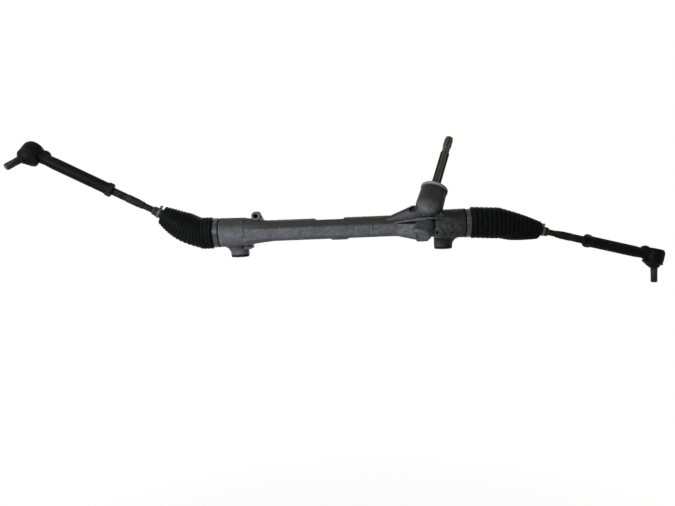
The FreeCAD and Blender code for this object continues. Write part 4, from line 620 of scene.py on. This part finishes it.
def front_band(name, x, profile, span):
    """Raised band laid on the front of the casting, between two angles about the rack."""
    low, high = span
    verts = []
    for k in range(BAND_STEPS + 1):
        share = k / BAND_STEPS
        angle = math.radians(low + (high - low) * share)
        out = Vector((0, -math.cos(angle), math.sin(angle)))
        fade = min(1.0, share / BAND_FADE, (1 - share) / BAND_FADE)
        for offset, height in profile:
            outside = Vector((x + offset, RACK_Y, RACK_Z)) + out * BAND_REACH
            hit = CASTING_SURFACE.ray_cast(outside * MM, -out)[0] / MM
            verts.append(hit + out * (height * fade - BAND_SUNK))
    row = len(profile)
    corners = [k * row + j for k in range(BAND_STEPS) for j in range(row - 1)]
    faces = [(a, a + 1, a + row + 1, a + row) for a in corners]
    piece = mesh_object(name, verts, faces, CASTING)
    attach(piece, "housing")


front_band("housing_panel_rib", RIB_X, rib_profile(), RIB_SPAN)
front_band("housing_panel_step", STEP_X, STEP_PROFILE, STEP_SPAN)


# Studs and their boots

# Foot of the boot on the head's face, as (distance from the ball, radius) pairs along the head
BOOT_FOOT = ((11.5, 17.0), (11.5, 18.6), (12.0, 19.0), (14.2, 19.0), (14.8, 18.7), (15.1, 18.0))
# Slope from the foot to the stud: distances of its start and end from the ball, and its number of rings
BOOT_SLOPE = (15.1, 22.0)
BOOT_RINGS = 14
# Radius at the slope's start, how far it narrows, and how soon
BOOT_SLOPE_RADIUS = 17.6
BOOT_NARROWING = 8.2
BOOT_NARROWING_POWER = 0.8
# Height and number of the waves on the slope
BOOT_WAVE = 0.5
BOOT_WAVES = 2
# Lip of the boot on the stud's taper, as (distance from the ball, radius) pairs along the stud
BOOT_LIP = ((22.4, 9.6), (22.9, 9.4), (23.0, 8.6), (23.0, 7.4))

THREAD_PITCH = 1.5
THREAD_DEPTH = 0.62
THREAD_SEGMENTS = 40
# Section of the thread's ridge, as shares of the pitch and of the depth
THREAD_RIDGE = ((-0.46, -0.05), (-0.10, 1.0), (0.10, 1.0), (0.46, -0.05))
# Height of a unit axis from which the thread starts towards the rack's direction instead of upwards
NEARLY_UPRIGHT = 0.9
# Outer radius of each thread, and where it begins and ends, from the outer and the inner ball
STUD_THREAD_RADIUS = 6.35
STUD_THREAD_SPAN = (36.4, 51.2)
ROD_THREAD_RADIUS = 7.25
ROD_THREAD_SPAN = (148.8, 176.5)


def stud_boot(side):
    """Dust boot from the head's face to the stud's taper."""
    rings = [(side.end_ball + side.head * along, side.head, radius) for along, radius in BOOT_FOOT]
    first, last = BOOT_SLOPE
    for k in range(1, BOOT_RINGS + 1):
        share = k / BOOT_RINGS
        way = (side.head * (1 - share) + side.stud * share).normalized()
        wave = BOOT_WAVE * math.sin(share * math.pi * 2 * BOOT_WAVES) * (1 - share)
        radius = BOOT_SLOPE_RADIUS - BOOT_NARROWING * share ** BOOT_NARROWING_POWER + wave
        rings.append((side.end_ball + way * (first + (last - first) * share), way, radius))
    rings += [(side.end_ball + side.stud * along, side.stud, radius) for along, radius in BOOT_LIP]
    piece = ring_mesh(side.name + "_stud_boot_skin", rings, side.head.cross(side.rod), BOOT, segments=72)
    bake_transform(piece)
    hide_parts(side.name + "_stud_boot")


def thread(name, centre, axis, radius, span, material):
    """Screw thread as one ridge that winds round a rod and runs out at both ends."""
    first, second = cross_axes(axis, UP if abs(axis.z) < NEARLY_UPRIGHT else ALONG_RACK)
    start, end = span
    steps = int((end - start - THREAD_PITCH) / THREAD_PITCH * THREAD_SEGMENTS)
    row = len(THREAD_RIDGE)
    verts = []
    for k in range(steps + 1):
        turn = k / THREAD_SEGMENTS
        out = first * math.cos(2 * math.pi * turn) + second * math.sin(2 * math.pi * turn)
        fade = min(1.0, turn, steps / THREAD_SEGMENTS - turn)
        for offset, lift in THREAD_RIDGE:
            along = start + THREAD_PITCH * (0.5 + turn + offset)
            height = radius - THREAD_DEPTH + THREAD_DEPTH * lift * (fade if lift > 0 else 1)
            verts.append(centre + axis * along + out * height)
    corners = [k * row + j for k in range(steps) for j in range(row - 1)]
    faces = [(a, a + row, a + row + 1, a + 1) for a in corners]
    faces.append(tuple(range(row)))
    faces.append(tuple(range(steps * row, (steps + 1) * row))[::-1])
    return mesh_object(name, verts, faces, material, smooth=False)


for side in SIDES:
    stud_boot(side)
    body = side.name + "_outer_stud"
    ridge = thread(
        side.name + "_stud_thread", side.end_ball, side.stud, STUD_THREAD_RADIUS, STUD_THREAD_SPAN, STUD
    )
    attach(ridge, body)
    rod_body = side.name + "_tie_rod_body"
    ridge = thread(side.name + "_rod_thread", side.ball, side.rod, ROD_THREAD_RADIUS, ROD_THREAD_SPAN, ROD)
    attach(ridge, rod_body)


# Camera, floor and light

scene = bpy.context.scene
scene.view_settings.view_transform = "Standard"

CAMERA_AT = Vector((-0.00855, -1.1412, 0.0995))
CAMERA_LENS = 31.47
CAMERA_SENSOR = 36.0
CAMERA_CLIP_START = 0.05
PITCH = math.radians(5.0)
ROLL = math.radians(2.31)
# How white the floor looks near the object, and where it turns to full white, from the origin in metres
WHITE_SHARE = 0.85
FLOOR_NEAR = 1.4
FLOOR_FAR = 2.4
# Half the floor's width, and its height, in millimetres
FLOOR_HALF = 9000
FLOOR_Z = -1300
# Even light of the world on the object
SOFT_LIGHT = (1.0, 0.98, 0.94)
SOFT_STRENGTH = 0.18


def make_camera():
    look = Vector((0, math.cos(PITCH), -math.sin(PITCH)))
    level_up = Vector((0, math.sin(PITCH), math.cos(PITCH)))
    right = ALONG_RACK * math.cos(ROLL) - level_up * math.sin(ROLL)
    up = right.cross(look)
    data = bpy.data.cameras.new("camera")
    data.lens = CAMERA_LENS
    data.sensor_width = CAMERA_SENSOR
    data.clip_start = CAMERA_CLIP_START
    camera = bpy.data.objects.new("camera", data)
    scene.collection.objects.link(camera)
    turned = Matrix((right, up, -look)).transposed().to_4x4()
    camera.matrix_world = Matrix.Translation(CAMERA_AT) @ turned
    scene.camera = camera


def seen_directly(tree):
    """1 for rays from the camera, or by way of metal or glass, and 0 for rays that light the object."""
    paths = tree.nodes.new("ShaderNodeLightPath")
    total = paths.outputs["Is Camera Ray"]
    for kind in ("Is Glossy Ray", "Is Transmission Ray"):
        add = tree.nodes.new("ShaderNodeMath")
        add.operation = "ADD"
        add.use_clamp = True
        tree.links.new(total, add.inputs[0])
        tree.links.new(paths.outputs[kind], add.inputs[1])
        total = add.outputs[0]
    return total


def floor_material():
    """Pale matt floor that runs into the white background and keeps a soft share of the shadow."""
    s = Shader("floor", (0.85, 0.85, 0.85), rough=0.9, metal=0.0, specular=0.1)
    tree = s.material.node_tree
    white = tree.nodes.new("ShaderNodeEmission")
    white.inputs["Strength"].default_value = 1.0
    spread = s.vector("LENGTH", s.place)
    share = s.ramp(spread.outputs["Value"], (FLOOR_NEAR, FLOOR_FAR), (WHITE_SHARE, 1.0))
    choose = tree.nodes.new("ShaderNodeMixShader")
    tree.links.new(s.times(share, seen_directly(tree)), choose.inputs[0])
    tree.links.new(s.out.outputs[0], choose.inputs[1])
    tree.links.new(white.outputs[0], choose.inputs[2])
    tree.links.new(choose.outputs[0], tree.nodes["Material Output"].inputs["Surface"])
    return s.material


def make_floor():
    places = ((-1, -1), (1, -1), (1, 1), (-1, 1))
    corners = [(x * FLOOR_HALF, y * FLOOR_HALF, FLOOR_Z) for x, y in places]
    floor = mesh_object("floor", corners, [(0, 1, 2, 3)], floor_material(), smooth=False)


def background(tree, color, strength):
    node = tree.nodes.new("ShaderNodeBackground")
    node.inputs["Color"].default_value = (*color, 1)
    node.inputs["Strength"].default_value = strength
    return node


def make_world():
    """Soft even light on the object, and plain white behind it."""
    world = bpy.data.worlds.new("studio")
    scene.world = world
    world.use_nodes = True
    tree = world.node_tree
    tree.nodes.clear()
    choose = tree.nodes.new("ShaderNodeMixShader")
    tree.links.new(seen_directly(tree), choose.inputs[0])
    tree.links.new(background(tree, SOFT_LIGHT, SOFT_STRENGTH).outputs[0], choose.inputs[1])
    tree.links.new(background(tree, (1, 1, 1), 1.0).outputs[0], choose.inputs[2])
    output = tree.nodes.new("ShaderNodeOutputWorld")
    tree.links.new(choose.outputs[0], output.inputs[0])


def area_light(name, at, target, size, power, color):
    """Round lamp at a place in metres that shines at another place."""
    data = bpy.data.lights.new(name, "AREA")
    data.shape = "DISK"
    data.size = size
    data.energy = power
    data.color = color
    lamp = bpy.data.objects.new(name, data)
    scene.collection.objects.link(lamp)
    lamp.location = at
    lamp.visible_camera = False
    lamp.rotation_euler = (Vector(target) - Vector(at)).to_track_quat("-Z", "Y").to_euler()


make_camera()
make_floor()
make_world()
area_light("key", (-0.85, -1.0, 0.28), (-0.05, 0, 0.05), size=0.5, power=21, color=(0.95, 0.97, 1.0))
area_light("back", (0.5, 1.6, 0.5), (0.05, 0, 0.05), size=1.4, power=20, color=(0.97, 0.98, 1.0))
